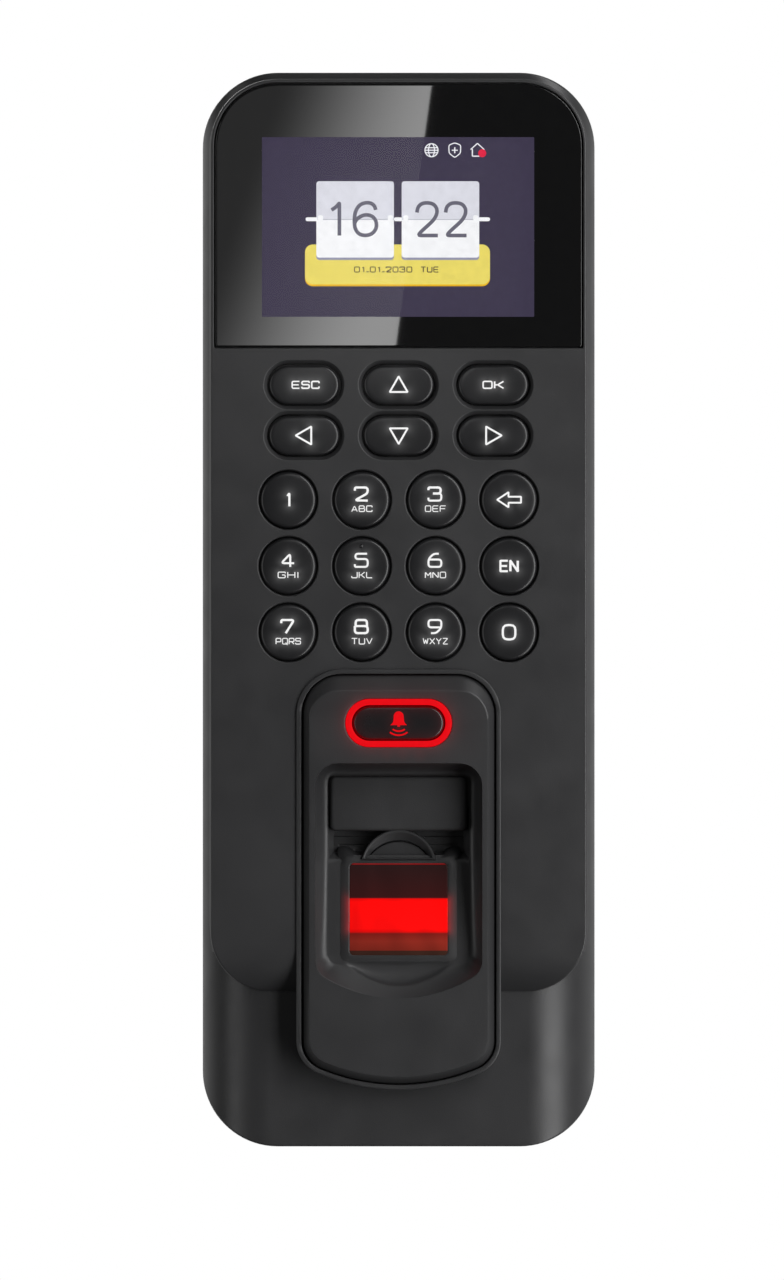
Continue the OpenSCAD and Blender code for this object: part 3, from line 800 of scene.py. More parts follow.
def recess(skin, steps=26):
    """The finger space: walls that hollow out towards the floor, and a long slope below."""
    rim = tongue(14.35, -25.4, 4.2, 3.6, 24.0, -41.5, steps=24, cuts=(24, 0, 24, 16))
    floor = tongue(11.75, -27.5, 1.4, 1.6, 200.0, 140.4, steps=24, cuts=(24, 0, 24, 16))
    rim_xz, floor_xz = rim.at(-RECESS_RIM_R), floor.base
    soft = np.clip((-rim_xz[:, 1] - 58.0) / 2.2, 0, 1)
    soft = soft * soft * (3 - 2 * soft)
    drop = FACE - RECESS_RIM_R - floor_depth(*floor_xz.T)
    rings = [(rim.at(-inset), FACE - depth)
             for inset, depth in reversed(rounding(RECESS_RIM_R, 4)[1:])]
    for t in np.linspace(0, 1, steps + 1):
        turn = t * math.pi / 2
        inwards = (1 - soft) * (1 - math.cos(turn)) + soft * t
        deeper = (1 - soft) * math.sin(turn) + soft * (1 - (1 - t) ** 1.5)
        place = rim_xz + (floor_xz - rim_xz) * inwards[:, None]
        rings.append((place, FACE - RECESS_RIM_R - drop * deeper - scoop(*place.T)))
    return skin.bands(rings)


def module_cover():
    """The finger module's tongue: sloped sides, a flat face, the button's hole and the recess."""
    outer = module_line(-0.15)
    face = tongue(15.0, -13.6, 4.9, 4.2, BOTTOM_R - 1.35, BOTTOM_Z)
    skin = Skin()
    slope = face.base - outer.base
    flange = module_line(MODULE_FLANGE)
    rings = [(flange.at(), MODULE.back), (flange.at(), COLLAR_FOOT - 0.3),
             (outer.at(), COLLAR_FOOT - 0.2), (outer.at(), PANEL - 0.55),
             (outer.at(-0.06), PANEL - 0.35)]
    rings += [(outer.base + slope * t, PANEL - 0.3 + (FACE - PANEL + 0.3) * t)
              for t in (0.06, 0.35, 0.65, 0.93)]
    rings += [(face.base, FACE - 0.03), (face.at(-0.25), FACE)]
    shell = skin.bands(rings)
    button = oblong(BELL_RING.x, BELL_RING.z, BELL_RING.width + 0.1, BELL_RING.height + 0.1)
    button_rings = skin.bands([(button.at(0.18), FACE), (button.at(0.06), FACE - 0.05),
                               (button.at(), FACE - 0.2), (button.at(), MODULE.back)])
    pocket = recess(skin)
    seat = rounded(9.6, SENSOR_Z - 8.7, SENSOR_Z + 9.3, 1.2, 1.2, steps=8)
    seat_rings = skin.bands([(seat.at(), floor_depth(*seat.base.T)), (seat.at(), MODULE.back)])
    near = np.vstack([button.at(grow)[::2] for grow in (0.5, 0.9, 1.4, 2.0, 2.8)])
    near = near[inside(near, face.at(-0.6))]
    skin.fill(shell[-1], [button_rings[0], pocket[0]], depth=lambda x, z: FACE, inner=near)
    ditch = [(x, z) for x in np.linspace(-10.8, 10.8, 13) for z in np.linspace(-40.5, -34.5, 9)]
    skin.fill(pocket[-1], [seat_rings[0]], depth=floor_depth, inner=ditch)
    skin.fill(shell[0], [button_rings[-1], seat_rings[-1]])
    return piece("module_shell", skin, "cover_plastic", stands_for=["module_cover"], angle=42)


def tilted(points):
    """Moves (x, height over the window, z) onto the sensor's tilted plane."""
    x, up, z = np.asarray(points, dtype=float).T
    depth = SENSOR_DEPTH + up * math.cos(SENSOR_TILT) - z * math.sin(SENSOR_TILT)
    height = SENSOR_Z + up * math.sin(SENSOR_TILT) + z * math.cos(SENSOR_TILT)
    return np.column_stack([x, depth, height])


def band_edges():
    """Places along both ends of the window's bright band, where red light is painted onto the
    surround.
    """
    return [(x, z) for x in (-8.3, 8.3) for z in np.linspace(-53.6, -48.8, 9)]


def sensor_frame():
    """The frame round the window, with a wide bevel above it that ends in two ears."""
    skin = Skin()
    cuts = (26, 6, 26, 26)
    hole = rounded(SENSOR_HALF_WIDTH + 0.05, -SENSOR_HALF_HEIGHT - 0.05, SENSOR_HALF_HEIGHT + 0.1,
                   0.7, 0.7, steps=6, cuts=cuts)
    wide = rounded(9.75, -8.85, 9.75, 1.2, 1.2, steps=6, cuts=cuts)
    ears = wide.base.copy()
    top = np.clip((ears[:, 1] - 7.9) / 1.8, 0, 1)
    corner = top * np.clip((np.abs(ears[:, 0]) - 6.6) / 1.4, 0, 1)
    ears[:, 1] += 1.4 * corner
    ears[:, 0] *= 1 + 0.1 * corner
    made = skin.bands([
        (hole.at(), -1.6), (hole.at(), 0.02), (hole.at(0.08), 0.06), (hole.at(0.3), 0.05),
        (hole.at(0.6), 0.03), (wide.at(-0.5), -0.02 - 0.1 * top), (ears, -0.11 - 2.0 * top),
        (ears, -0.15 - 2.2 * top), (wide.at(-0.3), -0.15 - 2.3 * top), (wide.at(-0.3), -3.0)])
    skin.band(made[-1], made[0])
    skin.points = [tuple(p) for p in tilted(skin.points)]
    surround = piece("sensor_surround", skin, "plate_plastic", stands_for=["sensor_frame"],
                     material=SURROUND_PAINTED_GLOW)
    # Painted red light spill from the window's bright band onto the surround
    set_painted_glow(surround, band_edges(), 0.5, 1.0)


def sensor_window():
    line = rounded(SENSOR_HALF_WIDTH, -SENSOR_HALF_HEIGHT, SENSOR_HALF_HEIGHT + 0.05, 0.7, 0.7,
                   steps=6, cuts=(8, 8, 8, 8))
    skin = closed([(line.at(), -1.2), (line.at(), -0.12), (line.at(-0.05), -0.03),
                   (line.at(-0.15), 0.0)])
    skin.points = [tuple(p) for p in tilted(skin.points)]
    piece("sensor_glass", skin, "sensor_glass", stands_for=["sensor_window"])


def thumb_notch():
    """A half-moon cup above the window, with a bevelled lip."""
    def moon(radius, middle, base):
        reach = math.degrees(math.acos((base - middle) / radius))
        curve = arc(0, middle, radius, 90 + reach, 90 - reach, 28)
        return np.vstack([curve, np.linspace(curve[-1], curve[0], 12)[1:-1]])
    top = 31.0
    cup = closed([
        (moon(6.45, -43.3, -41.9), top - 2.0), (moon(6.45, -43.3, -41.9), top - 0.25),
        (moon(6.3, -43.3, -41.8), top - 0.02), (moon(6.1, -43.3, -41.7), top),
        (moon(5.95, -43.35, -41.65), top - 0.1), (moon(6.1, -44.75, -41.55), top - 0.9),
        (moon(6.05, -44.85, -41.5), top - 2.4)])
    pit = closed([(moon(6.0, -44.9, -41.6), top - 2.3), (moon(6.0, -44.9, -41.6), top - 1.3),
                  (moon(5.9, -44.9, -41.65), top - 1.2)])
    piece("thumb_pit", pit, "part_plastic")
    piece("thumb_notch", cup, "plate_plastic")


def finger_plate():
    """The plate above the window that the finger lies against."""
    line = rounded(PLATE.width / 2, PLATE_BOTTOM, PLATE.high, 0.9, 0.9, steps=8,
                   cuts=(4, 10, 4, 10))
    skin = closed([(line.at(), PLATE.back - 2.0), (line.at(), PLATE.front - 0.25),
                   (line.at(-0.12), PLATE.front - 0.04), (line.at(-0.32), PLATE.front + 0.1),
                   (line.at(-0.6), PLATE.front + 0.14)])
    piece("finger_rest", skin, "plate_plastic", stands_for=["finger_plate"])


def bell_ring():
    outer = oblong(BELL_RING.x, BELL_RING.z, BELL_RING.width, BELL_RING.height)
    inner = oblong(BELL_RING.x, BELL_RING.z, BELL_RING.width - 2.15, BELL_RING.height - 2.05)
    front = BELL_RING.front
    skin = Skin()
    made = skin.bands([(inner.at(), BELL_RING.back), (inner.at(), front - 0.2),
                       (inner.at(0.06), front - 0.05), (inner.at(0.25), front),
                       (outer.at(-0.25), front), (outer.at(-0.06), front - 0.05),
                       (outer.at(), front - 0.2), (outer.at(), BELL_RING.back)])
    skin.band(made[-1], made[0])
    piece("bell_ring", skin, "red_light", stands_for=["bell_light_ring"])


# ---------------------------------------------------------------- strokes and legends

def glyphs(table):
    """Letters as strokes of places in hundredths of their size; a slash starts another stroke."""
    return {letter: [[tuple(int(number) / 100 for number in place.split(","))
                      for place in stroke.split()] for stroke in text.split("/")]
            for letter, text in table.items()}


GLYPHS = glyphs({
    "0": "0,0 0,100 100,100 100,0 0,0",
    "1": "20,78 60,100 60,0",
    "2": "0,76 0,100 100,100 100,56 0,2 100,0",
    "3": "0,80 0,100 95,100 95,54 35,54 / 60,54 100,54 100,0 0,0 0,22",
    "4": "100,28 0,28 70,100 70,0",
    "5": "95,100 4,100 4,60 100,60 100,0 0,0 0,20",
    "6": "80,100 40,100 0,60 0,0 100,0 100,56 5,56",
    "7": "0,76 0,100 100,100 35,0",
    "8": "0,54 0,0 100,0 100,54 6,54 / 6,54 6,100 94,100 94,54",
    "9": "20,0 60,0 100,40 100,100 0,100 0,44 95,44",
    "A": "0,0 50,100 100,0 / 18,30 82,30",
    "B": "0,52 0,100 92,100 92,52 10,52 / 0,52 0,0 100,0 100,52",
    "C": "100,74 100,100 0,100 0,0 100,0 100,26",
    "D": "0,0 0,100 100,100 100,0 0,0",
    "E": "100,100 0,100 0,0 100,0 / 0,50 90,50",
    "F": "100,100 0,100 0,0 / 0,50 90,50",
    "G": "100,78 100,100 0,100 0,0 100,0 100,50 55,50",
    "H": "0,0 0,100 / 100,0 100,100 / 0,50 100,50",
    "I": "50,0 50,100",
    "J": "100,100 100,0 0,0 0,30",
    "K": "0,0 0,100 / 100,100 35,50 100,0 / 0,50 35,50",
    "L": "0,100 0,0 100,0",
    "M": "0,0 0,100 50,35 100,100 100,0",
    "N": "0,0 0,100 100,0 100,100",
    "O": "0,0 0,100 100,100 100,0 0,0",
    "P": "0,0 0,100 100,100 100,40 5,40",
    "Q": "0,0 0,100 100,100 100,0 0,0 / 62,25 100,-14",
    "R": "0,0 0,100 100,100 100,42 5,42 / 50,42 100,0",
    "S": "100,78 100,100 0,100 0,53 100,53 100,0 0,0 0,22",
    "T": "0,100 100,100 / 50,100 50,0",
    "U": "0,100 0,0 100,0 100,100",
    "V": "0,100 50,0 100,100",
    "W": "0,100 25,0 50,80 75,0 100,100",
    "X": "0,0 100,100 / 0,100 100,0",
    "Y": "0,100 50,45 100,100 / 50,45 50,0",
    "Z": "0,100 100,100 0,0 100,0",
    ".": "20,4 70,4",
    "-": "20,50 80,50",
})
CLOCK_GLYPHS = glyphs({
    "1": "20,78 38,84 54,93 62,100 62,0",
    "2": "3,70 7,87 25,98 50,100 77,97 94,83 94,66 80,48 55,32 25,14 6,0 98,0",
    "6": "94,78 88,92 70,100 48,100 24,93 7,74 2,45 6,20 22,4 50,-1 80,5 97,22 97,42 83,58 "
         "58,64 32,60 12,49 3,36",
})
NARROW = {"I": 0.15, ".": 0.2, "1": 0.8, "-": 0.7}


def softened(points, radius):
    """A polyline with its corners rounded."""
    points = [np.array(p, dtype=float) for p in points]
    closed = np.allclose(points[0], points[-1])
    if closed:
        points = points[:-1]
    result = []
    count = len(points)
    for i, here in enumerate(points):
        if not closed and i in (0, count - 1):
            result.append(here)
            continue
        before, after = points[i - 1], points[(i + 1) % count]
        reach = min(radius, np.linalg.norm(before - here) / 2, np.linalg.norm(after - here) / 2)
        start = here + (before - here) / np.linalg.norm(before - here) * reach
        end = here + (after - here) / np.linalg.norm(after - here) * reach
        for t in (0, 0.33, 0.67, 1):
            result.append((1 - t) ** 2 * start + 2 * t * (1 - t) * here + t * t * end)
    return result, closed


def writing(text, x, z, width, height, spacing=0.35, corner=0.22, letters=GLYPHS):
    """The strokes of a line of text, centred on a place, as lists of points."""
    shares = [NARROW.get(letter, 1.0) for letter in text]
    letter_w = width / (sum(shares) + spacing * (len(text) - 1))
    lines = []
    left = x - width / 2
    for letter, share in zip(text, shares):
        for stroke in letters[letter]:
            if letter in "I.-":
                stroke = [((p[0] - 0.5) * letter_w + share * letter_w / 2, p[1]) for p in stroke]
            else:
                stroke = [(p[0] * share * letter_w, p[1]) for p in stroke]
            lines.append([(left + p[0], z + (p[1] - 0.5) * height) for p in stroke])
        left += (share + spacing) * letter_w
    return [softened(line, corner * min(letter_w, height)) for line in lines]


def stroke_mesh(name, strokes, width, surface, proud=0.05):
    """Flattened round strokes lying on a surface, given as a function of x and z."""
    curve = bpy.data.curves.new(name, "CURVE")
    curve.dimensions = "3D"
    curve.bevel_depth = width / 2
    curve.bevel_resolution = 1
    curve.use_fill_caps = True
    for points, closed in strokes:
        spline = curve.splines.new("POLY")
        spline.points.add(len(points) - 1)
        for point, place in zip(spline.points, points):
            point.co = (place[0], 0, place[1], 1)
        spline.use_cyclic_u = closed
    obj = bpy.data.objects.new(name, curve)
    mesh = bpy.data.meshes.new_from_object(obj)
    bpy.data.objects.remove(obj)
    for vertex in mesh.vertices:
        x, y, z = vertex.co
        depth = float(surface(x, z)) - y * 2 * proud / width
        vertex.co = (x * MM, -depth * MM, z * MM)
    mesh.name = name
    return mesh


def set_painted_glow(obj, sources, reach, power=2.0):
    """Writes each vertex's nearness to the source points as its glow, the mask where light is painted
    on.
    """
    places = np.array([v.co[:] for v in obj.data.vertices])[:, [0, 2]] / MM
    sources = np.asarray(sources)
    values = np.zeros(len(places))
    for start in range(0, len(places), 2000):
        part = places[start:start + 2000]
        gap = np.sqrt(((part[:, None, :] - sources[None, :, :]) ** 2).sum(axis=2)).min(axis=1)
        values[start:start + 2000] = np.exp(-(gap / reach) ** power)
    layer = obj.data.attributes.new("glow", "FLOAT", "POINT")
    layer.data.foreach_set("value", values)


def triangle(x, z, turn, size=3.0):
    """A closed triangle whose point faces the turn, in degrees from straight up."""
    corners = [(0, 0.47), (-0.5, -0.4), (0.5, -0.4), (0, 0.47)]
    cos, sin = math.cos(math.radians(turn)), math.sin(math.radians(turn))
    return [softened([(x + size * (across * cos - up * sin), z + size * (across * sin + up * cos))
                      for across, up in corners], 0.1)]


def back_arrow(x, z):
    """A hollow arrow that points left."""
    points = [(-2.0, 0), (-0.1, 1.25), (-0.1, 0.5), (2.0, 0.5), (2.0, -0.5), (-0.1, -0.5),
              (-0.1, -1.25), (-2.0, 0)]
    return [softened([(x + p[0], z + p[1]) for p in points], 0.08)]


def legend(node, x, z):
    """(strokes, width) for each part of a key's legend."""
    letters = {"key_2": "ABC", "key_3": "DEF", "key_4": "GHI", "key_5": "JKL", "key_6": "MNO",
               "key_7": "PQRS", "key_8": "TUV", "key_9": "WXYZ"}
    turns = {"key_up": 0, "key_left": 90, "key_down": 180, "key_right": -90}
    if node in letters:
        word = letters[node]
        width = 3.4 if len(word) == 3 else 4.1
        return [(writing(node[-1], x - 0.1, z + 0.95, 2.15, 2.2), 0.38),
                (writing(word, x, z - 1.5, width, 0.95), 0.16)]
    if node in turns:
        return [(triangle(x, z, turns[node]), 0.36)]
    if node == "key_back":
        return [(back_arrow(x, z), 0.34)]
    if node == "key_esc":
        return [(writing("ESC", x + 0.25, z, 4.5, 1.15), 0.25)]
    if node == "key_ok":
        return [(writing("OK", x, z, 3.4, 1.15, 0.3), 0.28)]
    if node == "key_language":
        return [(writing("EN", x, z, 2.9, 1.75, 0.35, 0.05), 0.4)]
    if node == "key_1":
        return [(writing("1", x + 0.1, z, 0.8, 2.2), 0.42)]
    return [(writing("0", x, z, 2.1, 2.4, 0.3, 0.4), 0.42)]


def merged(name, meshes):
    """Several meshes as one."""
    form = bmesh.new()
    for mesh in meshes:
        form.from_mesh(mesh)
    joined_mesh = bpy.data.meshes.new(name)
    form.to_mesh(joined_mesh)
    form.free()
    return joined_mesh


# ---------------------------------------------------------------- keys

def crowned(line, foot, surface, edge, inner):
    """A cap: the rings of its foot, then a rounded edge and a face that follows a surface."""
    skin = Skin()
    rings = list(foot)
    for inset, drop in rounding(edge, 4):
        place = line.at(-inset)
        rings.append((place, surface(*place.T) - drop))
    made = skin.bands(rings)
    skin.fill(made[-1], depth=surface, inner=inner)
    skin.fill(made[0])
    return skin


def key(node):
    """A key cap with a crowned face, and its lit legend."""
    box = Extent(node)
    width = box.width - 2 * KEY_FLANGE
    height = box.height - 2 * KEY_FLANGE
    menu = node in MENU_KEYS
    front = PANEL - 0.12 if menu else PANEL + 0.3
    crown = 0.22 if menu else 0.34
    edge = 0.5
    line = (oblong(box.x, box.z, width, height, 16, 8) if menu
            else circle(box.x, box.z, width / 2, 56))

    def surface(x, z):
        across = np.abs(x - box.x) / (width / 2)
        up = np.abs(z - box.z) / (height / 2)
        return front - crown * (across ** 2 * 0.75 + up ** 2 * 0.35)
    top = box.back + KEY_FLANGE_T
    foot = [(line.at(KEY_FLANGE), box.back), (line.at(KEY_FLANGE), top - 0.1),
            (line.at(KEY_FLANGE - 0.1), top), (line.at(), top)]
    centre = np.array([box.x, box.z])
    rim = line.at(-edge)
    inner = np.vstack([*(centre + (rim[::2] - centre) * share
                         for share in np.linspace(0.92, 0.1, 13)), [centre]])
    slot = "menu_key_plastic" if menu else "number_key_plastic"
    cap = piece(node + "_cap", crowned(line, foot, surface, edge, inner), slot, node, [node])
    parts = [stroke_mesh(node, strokes, thick, surface) for strokes, thick in
             legend(node, box.x, box.z)]
    mesh = merged(node + "_legend", parts)
    piece(node + "_legend", mesh, "light", node, angle=60)
    # Painted backlight halo on the cap round its legend
    sources = np.array([v.co[:] for v in mesh.vertices])[:, [0, 2]] / MM
    set_painted_glow(cap, sources, 0.6, 1.0)
    if node == "key_5":
        dot = circle(box.x - 0.1, box.z + 3.3, 0.36, 20)
        level = float(surface(box.x, box.z + 3.3))
        pip = closed([(dot.at(), level - 0.3), (dot.at(-0.02), level + 0.02),
                      (dot.at(-0.12), level + 0.13), (dot.at(-0.26), level + 0.18)])
        piece("key_5_pip", pip, slot, node)


def keypad_mat():
    """The silicone sheet and, under each key, a pad that the key squashes."""
    sheet = prism(rounded(MAT.width / 2, MAT.low, MAT.high, 2, 2), MAT.back, MAT.back + 0.9,
                  0.15, 0.15)
    piece("keypad_mat_sheet", sheet, "silicone", stands_for=["keypad_mat"])
    foot = MAT.back + 0.6
    for node in MENU_KEYS + ROUND_KEYS:
        box = Extent(node)
        radius = 2.2 if node in MENU_KEYS else 2.6
        line = circle(box.x, box.z, radius, 32)
        skin = closed([(line.at(0.5), foot), (line.at(0.42), foot + 0.4), (line.at(0), foot + 0.9),
                       (line.at(0), MAT.front - 0.2), (line.at(-0.2), MAT.front)])
        pad = piece(node + "_pad", skin, "silicone")
        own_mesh(pad)


def bell_button():
    """The button inside the lit ring, with its bell icon."""
    line = oblong(BELL_RING.x, BELL_RING.z, 15.2, 5.5, 16, 10)
    front = BELL_CAP.front - 0.05

    def surface(x, z):
        return front - 0.25 * (np.abs(z - BELL_RING.z) / 2.75) ** 2 - 0.12 * (np.abs(x) / 7.6) ** 2
    back = BELL_CAP.back + 0.5
    foot = [(line.at(0.6), back), (line.at(0.6), back + 0.9), (line.at(), back + 1.0)]
    inner = face_points(np.linspace(-7, 7, 29), BELL_RING.z + np.linspace(-2, 2, 9), line, 0.8)
    cap = piece("bell_cap", crowned(line, foot, surface, 0.45, inner), "button_plastic",
                "bell_button", ["bell_button"])
    x, z = 0.0, BELL_RING.z
    dome = arc(x, z + 1.12, 0.84, 180, 0, 14)
    flare = np.array([(0.9, 0.35), (1.02, 0.0), (1.42, -0.36), (-1.42, -0.36), (-1.02, 0.0),
                      (-0.9, 0.35)]) + (x, z)
    bell = np.vstack([dome, flare])
    plate = closed([(bell, surface(*bell.T) - 0.05), (bell, surface(*bell.T) + 0.04)])
    waves = [(list(arc(x, z + 0.35, r, 270 - reach, 270 + reach, 14)), False)
             for r, reach in ((1.72, 36), (2.4, 38))]
    clapper = [([np.array((x - 0.22, z - 0.5)), np.array((x + 0.22, z - 0.5))], False)]
    icon = merged("bell_icon", [plate.mesh("bell"), stroke_mesh("waves", waves, 0.3, surface),
                                stroke_mesh("clapper", clapper, 0.3, surface)])
    piece("bell_icon", icon, "red_light", "bell_button", angle=60)
    # Painted red halo on the cap, near the lit ring and round the bell icon
    sources = np.vstack([oblong(0, BELL_RING.z, 16.6, 6.9).at(),
                         [(x, z), (x, z + 1), (x, z - 1)]])
    set_painted_glow(cap, sources, 0.9, 1.0)


# ---------------------------------------------------------------- display

def flat_plate(name, line, lift, color):
    """A thin lit shape so far in front of the screen."""
    back = SCREEN.front + lift
    piece(name, prism(line, back, back + 0.03), "screen", material=lit(name + "_light", color))


def lit_strokes(name, strokes, width, lift, color):
    """Thin lit lines so far in front of the screen."""
    mesh = stroke_mesh(name, strokes, width, lambda x, z: SCREEN.front + lift, 0.01)
    piece(name, mesh, "screen", angle=60, material=lit(name + "_light", color))


def display():
    """The cover glass, its black print, the screen and what it shows."""
    line = rounded(GLASS.width / 2 - 0.2, GLASS.low + 0.15, GLASS.high - 0.2, GLASS_R - 0.2, 0.35,
                   steps=18, cuts=(6, 8, 6, 8))
    view = rounded(VIEW_HALF, VIEW_LOW, VIEW_HIGH, 0.15, 0.15, x=VIEW_X, steps=3)
    front = PANEL - 0.03
    border = framed([(line.at(), GLASS.back)]
                    + [(line.at(-inset), front - drop) for inset, drop in rounding(0.07)]
                    + [(line.at(-0.3), front)],
                    [(view.at(), GLASS.back), (view.at(), front)])
    piece("glass_border", border, "window_glass", stands_for=["display_window"],
          material=BLACK_PRINT)
    piece("glass_pane", prism(view, GLASS.back + 0.02, front, 0.01), "window_glass")
    rim = rounded(GLASS.width / 2 - 0.6, GLASS.low + 0.6, GLASS.high - 0.6, GLASS_R - 0.6, 0.2,
                  steps=16)
    tape = framed(*([(edge, GLASS.back - 0.12), (edge, GLASS.back - 0.01)]
                    for edge in (rim.at(), view.at(0.6))))
    piece("window_tape_ring", tape, "tape", stands_for=["window_tape"])
    panel = prism(rounded(25.3, SCREEN.low + 0.1, SCREEN.high - 0.1, 0.5, 0.5), SCREEN.back,
                  SCREEN.front, 0.08)
    piece("screen_face", panel, "screen", stands_for=["screen_panel"])
    screen_content()


def screen_content():
    """The clock, the date and the status icons, in thin layers in front of the screen."""
    white = linear(250, 250, 252)
    pale = linear(223, 223, 232)
    flat_plate("date_plate_edge", rounded(15.5, 54.2, 61.2, 1.3, 1.3, x=-0.2), 0,
               linear(240, 188, 26))
    flat_plate("date_plate", rounded(15.5, 54.5, 61.2, 1.3, 1.3, x=-0.2), 0.04,
               linear(238, 220, 106))
    half, low, high, fold = 6.5, 58.6, 71.8, 65.4
    for side, x in (("left", -7.3), ("right", 7.0)):
        flat_plate(f"card_edge_{side}", rounded(half, low, high, 0.5, 0.5, x=x), 0.08,
                   linear(150, 152, 176))
        flat_plate(f"card_low_{side}", rounded(half, low + 0.4, fold + 0.1, 0.4, 0.5, x=x), 0.12,
                   white)
        flat_plate(f"card_high_{side}", rounded(half, fold, high, 0.5, 0.1, x=x), 0.12, pale)
        flat_plate(f"card_split_{side}", rounded(half, fold - 0.07, fold + 0.07, 0.05, 0.05, x=x),
                   0.16, linear(176, 176, 190))
    for i, (x, half) in enumerate([(-14.6, 1.0), (-0.1, 0.7), (14.3, 1.0)]):
        flat_plate(f"axle_{i}", rounded(half, 65.1, 65.75, 0.3, 0.3, x=x), 0.2, white)
    for i, x in enumerate((-13.1, -1.4, 1.2, 12.9)):
        flat_plate(f"clip_{i}", rounded(0.42, 64.8, 66.1, 0.3, 0.3, x=x), 0.24, white)
    digits = (writing("16", -7.75, 65.45, 8.3, 5.5, 0.3, 0.9, CLOCK_GLYPHS)
              + writing("22", 7.2, 65.45, 8.5, 5.5, 0.3, 0.9, CLOCK_GLYPHS))
    lit_strokes("clock_digits", digits, 0.72, 0.26, linear(106, 104, 118))
    date = (writing("01.01.2030", -2.6, 57.0, 9.6, 0.85, 0.4)
            + writing("TUE", 5.2, 57.0, 2.9, 0.85, 0.4))
    lit_strokes("date_digits", date, 0.19, 0.08, linear(90, 80, 62))
    lit_strokes("status_icons", status_icons(77.0), 0.2, 0.05, linear(246, 246, 250))
    flat_plate("alert_badge", circle(14.0, 76.5, 0.68, 24), 0.08, linear(226, 38, 70))


def status_icons(z):
    """A globe, a shield with a cross and a house, as strokes."""
    def ring(x, rx, rz):
        return ([np.array((x + rx * math.cos(a), z + rz * math.sin(a)))
                 for a in np.linspace(0, 2 * math.pi, 25)[:-1]], True)

    def bar(x, half, up=0.0):
        return ([np.array((x - half, z + up)), np.array((x + half, z + up))], False)
    globe, shield, house = 5.5, 9.4, 13.2
    icons = [ring(globe, 1.1, 1.1), ring(globe, 0.5, 1.1), bar(globe, 0.95, 0.42), bar(globe, 1.05),
             bar(globe, 0.95, -0.42)]
    icons.append(softened([(shield, z + 1.25), (shield + 1.0, z + 0.85), (shield + 0.95, z - 0.5),
                           (shield, z - 1.25), (shield - 0.95, z - 0.5), (shield - 1.0, z + 0.85),
                           (shield, z + 1.25)], 0.3))
    icons += [bar(shield, 0.5),
              ([np.array((shield, z - 0.5)), np.array((shield, z + 0.5))], False)]
    roof = [(house - 1.15, z + 0.1), (house, z + 1.15), (house + 1.15, z + 0.1)]
    walls = [(house - 0.85, z + 0.2), (house - 0.85, z - 1.0), (house + 0.3, z - 1.0)]
    return icons + [softened(roof, 0.1), softened(walls, 0.1)]


# ---------------------------------------------------------------- other CAD nodes

CAD_NODES = {
    "cover_plastic_dark": ["rear_cover"],
    "plate_steel": ["wall_plate"],
    "seal_rubber": ["cover_seal"],
    "frame_steel": ["screen_frame", "shield_can", "network_jack"],
    "ribbon": ["screen_ribbon"],
    "board": ["keypad_board", "bell_board", "sensor_board", "main_board"],
    "contact_steel": ["dome_switches", "coin_cell"],
    "light": ["key_lights", "sensor_lights"],
    "part_plastic": ["bell_switch", "sensor_housing", "sensor_camera", "main_chips",
                     "cell_holder", "speaker", "tamper_switch"],
    "sensor_glass": ["sensor_prism"],
    "block_plastic": ["terminal_block"],
    "plunger_plastic": ["tamper_plunger"],
    "screw_steel": ["cover_screws", "module_screws", "board_screws", "security_screw"],
}
CAD_BEVELS = {"rear_cover": 0.35, "wall_plate": 0.25}
SMALL_BEVEL = 0.12


def finish_cad_nodes():
    """Materials for the CAD nodes that stay, with softened edges."""
    for slot, nodes in CAD_NODES.items():
        for node in nodes:
            obj = frame["nodes"][node]
            if not obj.material_slots:
                obj.data.materials.append(MATERIALS[slot])
            for place in obj.material_slots:
                place.link = "OBJECT"
                place.material = MATERIALS[slot]
            soften(obj, CAD_BEVELS.get(node, SMALL_BEVEL))


def soften(obj, width):
    """Rounds the hard edges of a CAD node as it is shown."""
    weld = obj.modifiers.new("weld", "WELD")
    weld.merge_threshold = 0.000002
    flat = obj.modifiers.new("flat faces", "DECIMATE")
    flat.decimate_type = "DISSOLVE"
    flat.angle_limit = math.radians(0.5)
    bevel = obj.modifiers.new("soft edges", "BEVEL")
    bevel.width = width * MM
    bevel.segments = 2
    bevel.limit_method = "ANGLE"
    bevel.angle_limit = math.radians(35)
    bevel.use_clamp_overlap = True
    bevel.harden_normals = True


# ---------------------------------------------------------------- stage

def area_light(name, place, target, width, height, power):
    light = bpy.data.lights.new(name, "AREA")
    light.shape = "RECTANGLE"
    light.size, light.size_y = width, height
    light.energy = power
    obj = scene_object(name, light)
    obj.location = place
    aim = Vector(target) - Vector(place)
    obj.rotation_euler = aim.to_track_quat("-Z", "Y").to_euler()


def world():
    """White surroundings for the camera, and a softer white for the light they give."""
    sky = bpy.data.worlds.new("studio")
    bpy.context.scene.world = sky
    sky.use_nodes = True
    tree = sky.node_tree
    nodes, links = tree.nodes, tree.links
    base = nodes["Background"]
    base.inputs["Color"].default_value = WHITE
    # Brighter behind the terminal than in front of it
    fade = map_range(tree, coordinates(tree, "Generated")["Y"], -0.1, 0.6, 0.045, 0.55, smooth=True)
    links.new(fade, base.inputs["Strength"])
    seen = nodes.new("ShaderNodeBackground")
    seen.inputs["Color"].default_value = WHITE
    seen.inputs["Strength"].default_value = 1.0
    path = nodes.new("ShaderNodeLightPath")
    mix = nodes.new("ShaderNodeMixShader")
    links.new(path.outputs["Is Camera Ray"], mix.inputs["Fac"])
    links.new(base.outputs["Background"], mix.inputs[1])
    links.new(seen.outputs["Background"], mix.inputs[2])
    links.new(mix.outputs["Shader"], nodes["World Output"].inputs["Surface"])


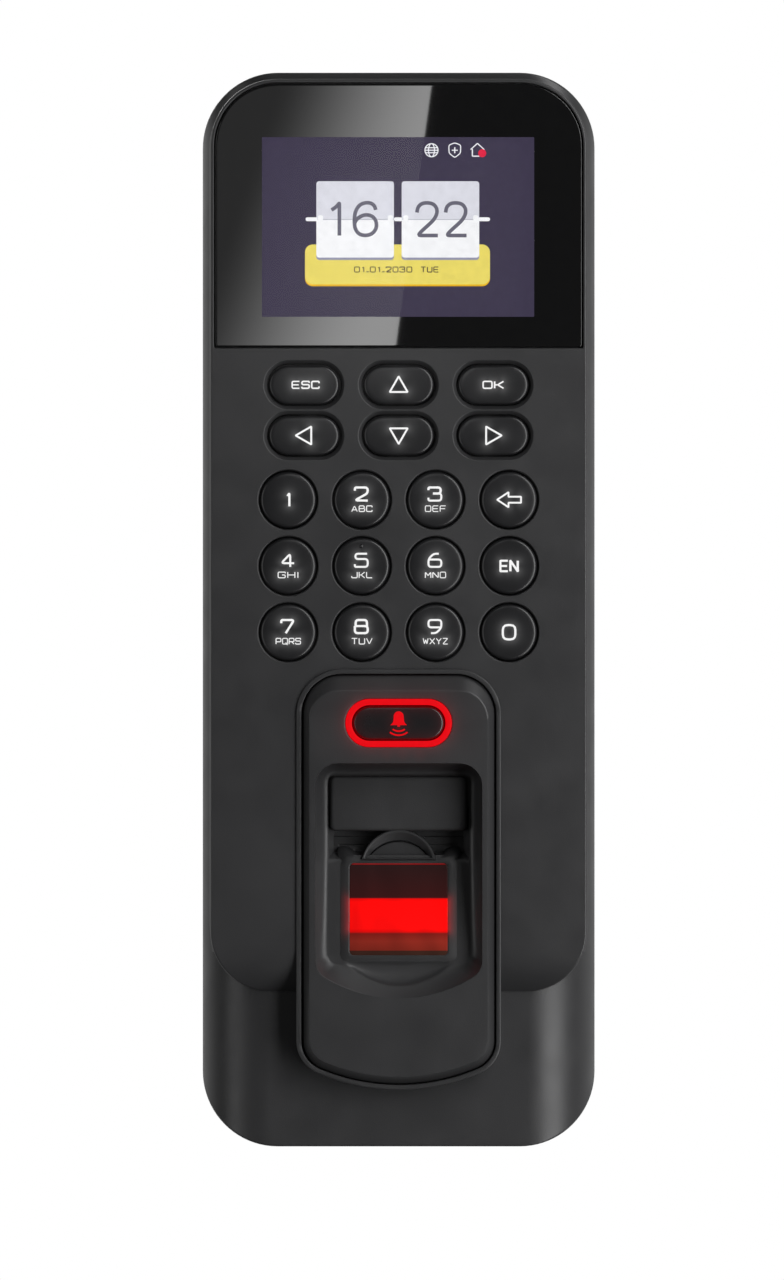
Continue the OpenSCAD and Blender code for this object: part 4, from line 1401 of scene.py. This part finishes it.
def reflected_card():
    """A pale studio card that only the window glass mirrors, with a slanted edge."""
    left, high, low, away = -32.5, 91.0, 43.0, 90.0
    corners = [(left, high), (5.86, high), (-0.71, low), (left, low)]
    mesh = bpy.data.meshes.new("card")
    mesh.from_pydata([(x * MM, -(PANEL + away) * MM, z * MM) for x, z in corners], [],
                     [(0, 1, 2, 3)])
    obj = scene_object("reflected_card", mesh)
    material = bpy.data.materials.new("card")
    material.use_nodes = True
    tree = material.node_tree
    nodes, links = tree.nodes, tree.links
    nodes.clear()
    place = coordinates(tree, "Object")
    # The card brightens along a line that leans: x - 0.35 z, in metres
    lean = nodes.new("ShaderNodeMath")
    lean.operation = "MULTIPLY_ADD"
    lean.inputs[1].default_value = -0.35
    links.new(place["Z"], lean.inputs[0])
    links.new(place["X"], lean.inputs[2])
    strength = map_range(tree, lean.outputs["Value"], -0.052, -0.020, 0.2, 2.7, smooth=True)
    glow = nodes.new("ShaderNodeEmission")
    links.new(strength, glow.inputs["Strength"])
    out = nodes.new("ShaderNodeOutputMaterial")
    links.new(glow.outputs["Emission"], out.inputs["Surface"])
    mesh.materials.append(material)
    obj.visible_camera = False
    obj.visible_diffuse = False
    obj.visible_shadow = False
    obj.visible_transmission = False


def camera():
    """A long lens straight in front, with the terminal a little high and to the right of centre."""
    frame_height = 0.2148
    distance = 6.0
    left, low = 0.00112, 0.0051
    data = bpy.data.cameras.new("camera")
    data.sensor_width = 36
    data.lens = data.sensor_width * distance / frame_height
    data.clip_end = 50
    obj = scene_object("camera", data)
    obj.location = (-left, -distance - 0.025, -low)
    obj.rotation_euler = (math.pi / 2, 0, 0)
    bpy.context.scene.camera = obj


def stage():
    world()
    reflected_card()
    camera()
    middle = (0, 0, 0)
    area_light("key_right", (0.32, -0.33, 0.04), middle, 0.25, 1.1, 3.9)
    area_light("fill_left", (-0.9, -0.5, 0.0), middle, 0.4, 0.9, 2.0)
    area_light("rear_left", (-0.35, 0.7, 0.45), middle, 0.5, 0.5, 5.0)
    settings = bpy.context.scene.view_settings
    settings.view_transform = "Standard"
    settings.look = "None"


# ---------------------------------------------------------------- build

shell = front_cover()
# Painted red light spill from the bell ring: the case round the ring and the module's face next to it
# glow
set_painted_glow(shell, [(0, BELL_RING.z)], 1.0)
module = module_cover()
set_painted_glow(module, oblong(0, BELL_RING.z, BELL_RING.width, BELL_RING.height).at(), 1.0, 1.0)
bell_ring()
bell_button()
finger_plate()
sensor_frame()
sensor_window()
thumb_notch()
for node in MENU_KEYS + ROUND_KEYS:
    key(node)
keypad_mat()
display()
finish_cad_nodes()
stage()
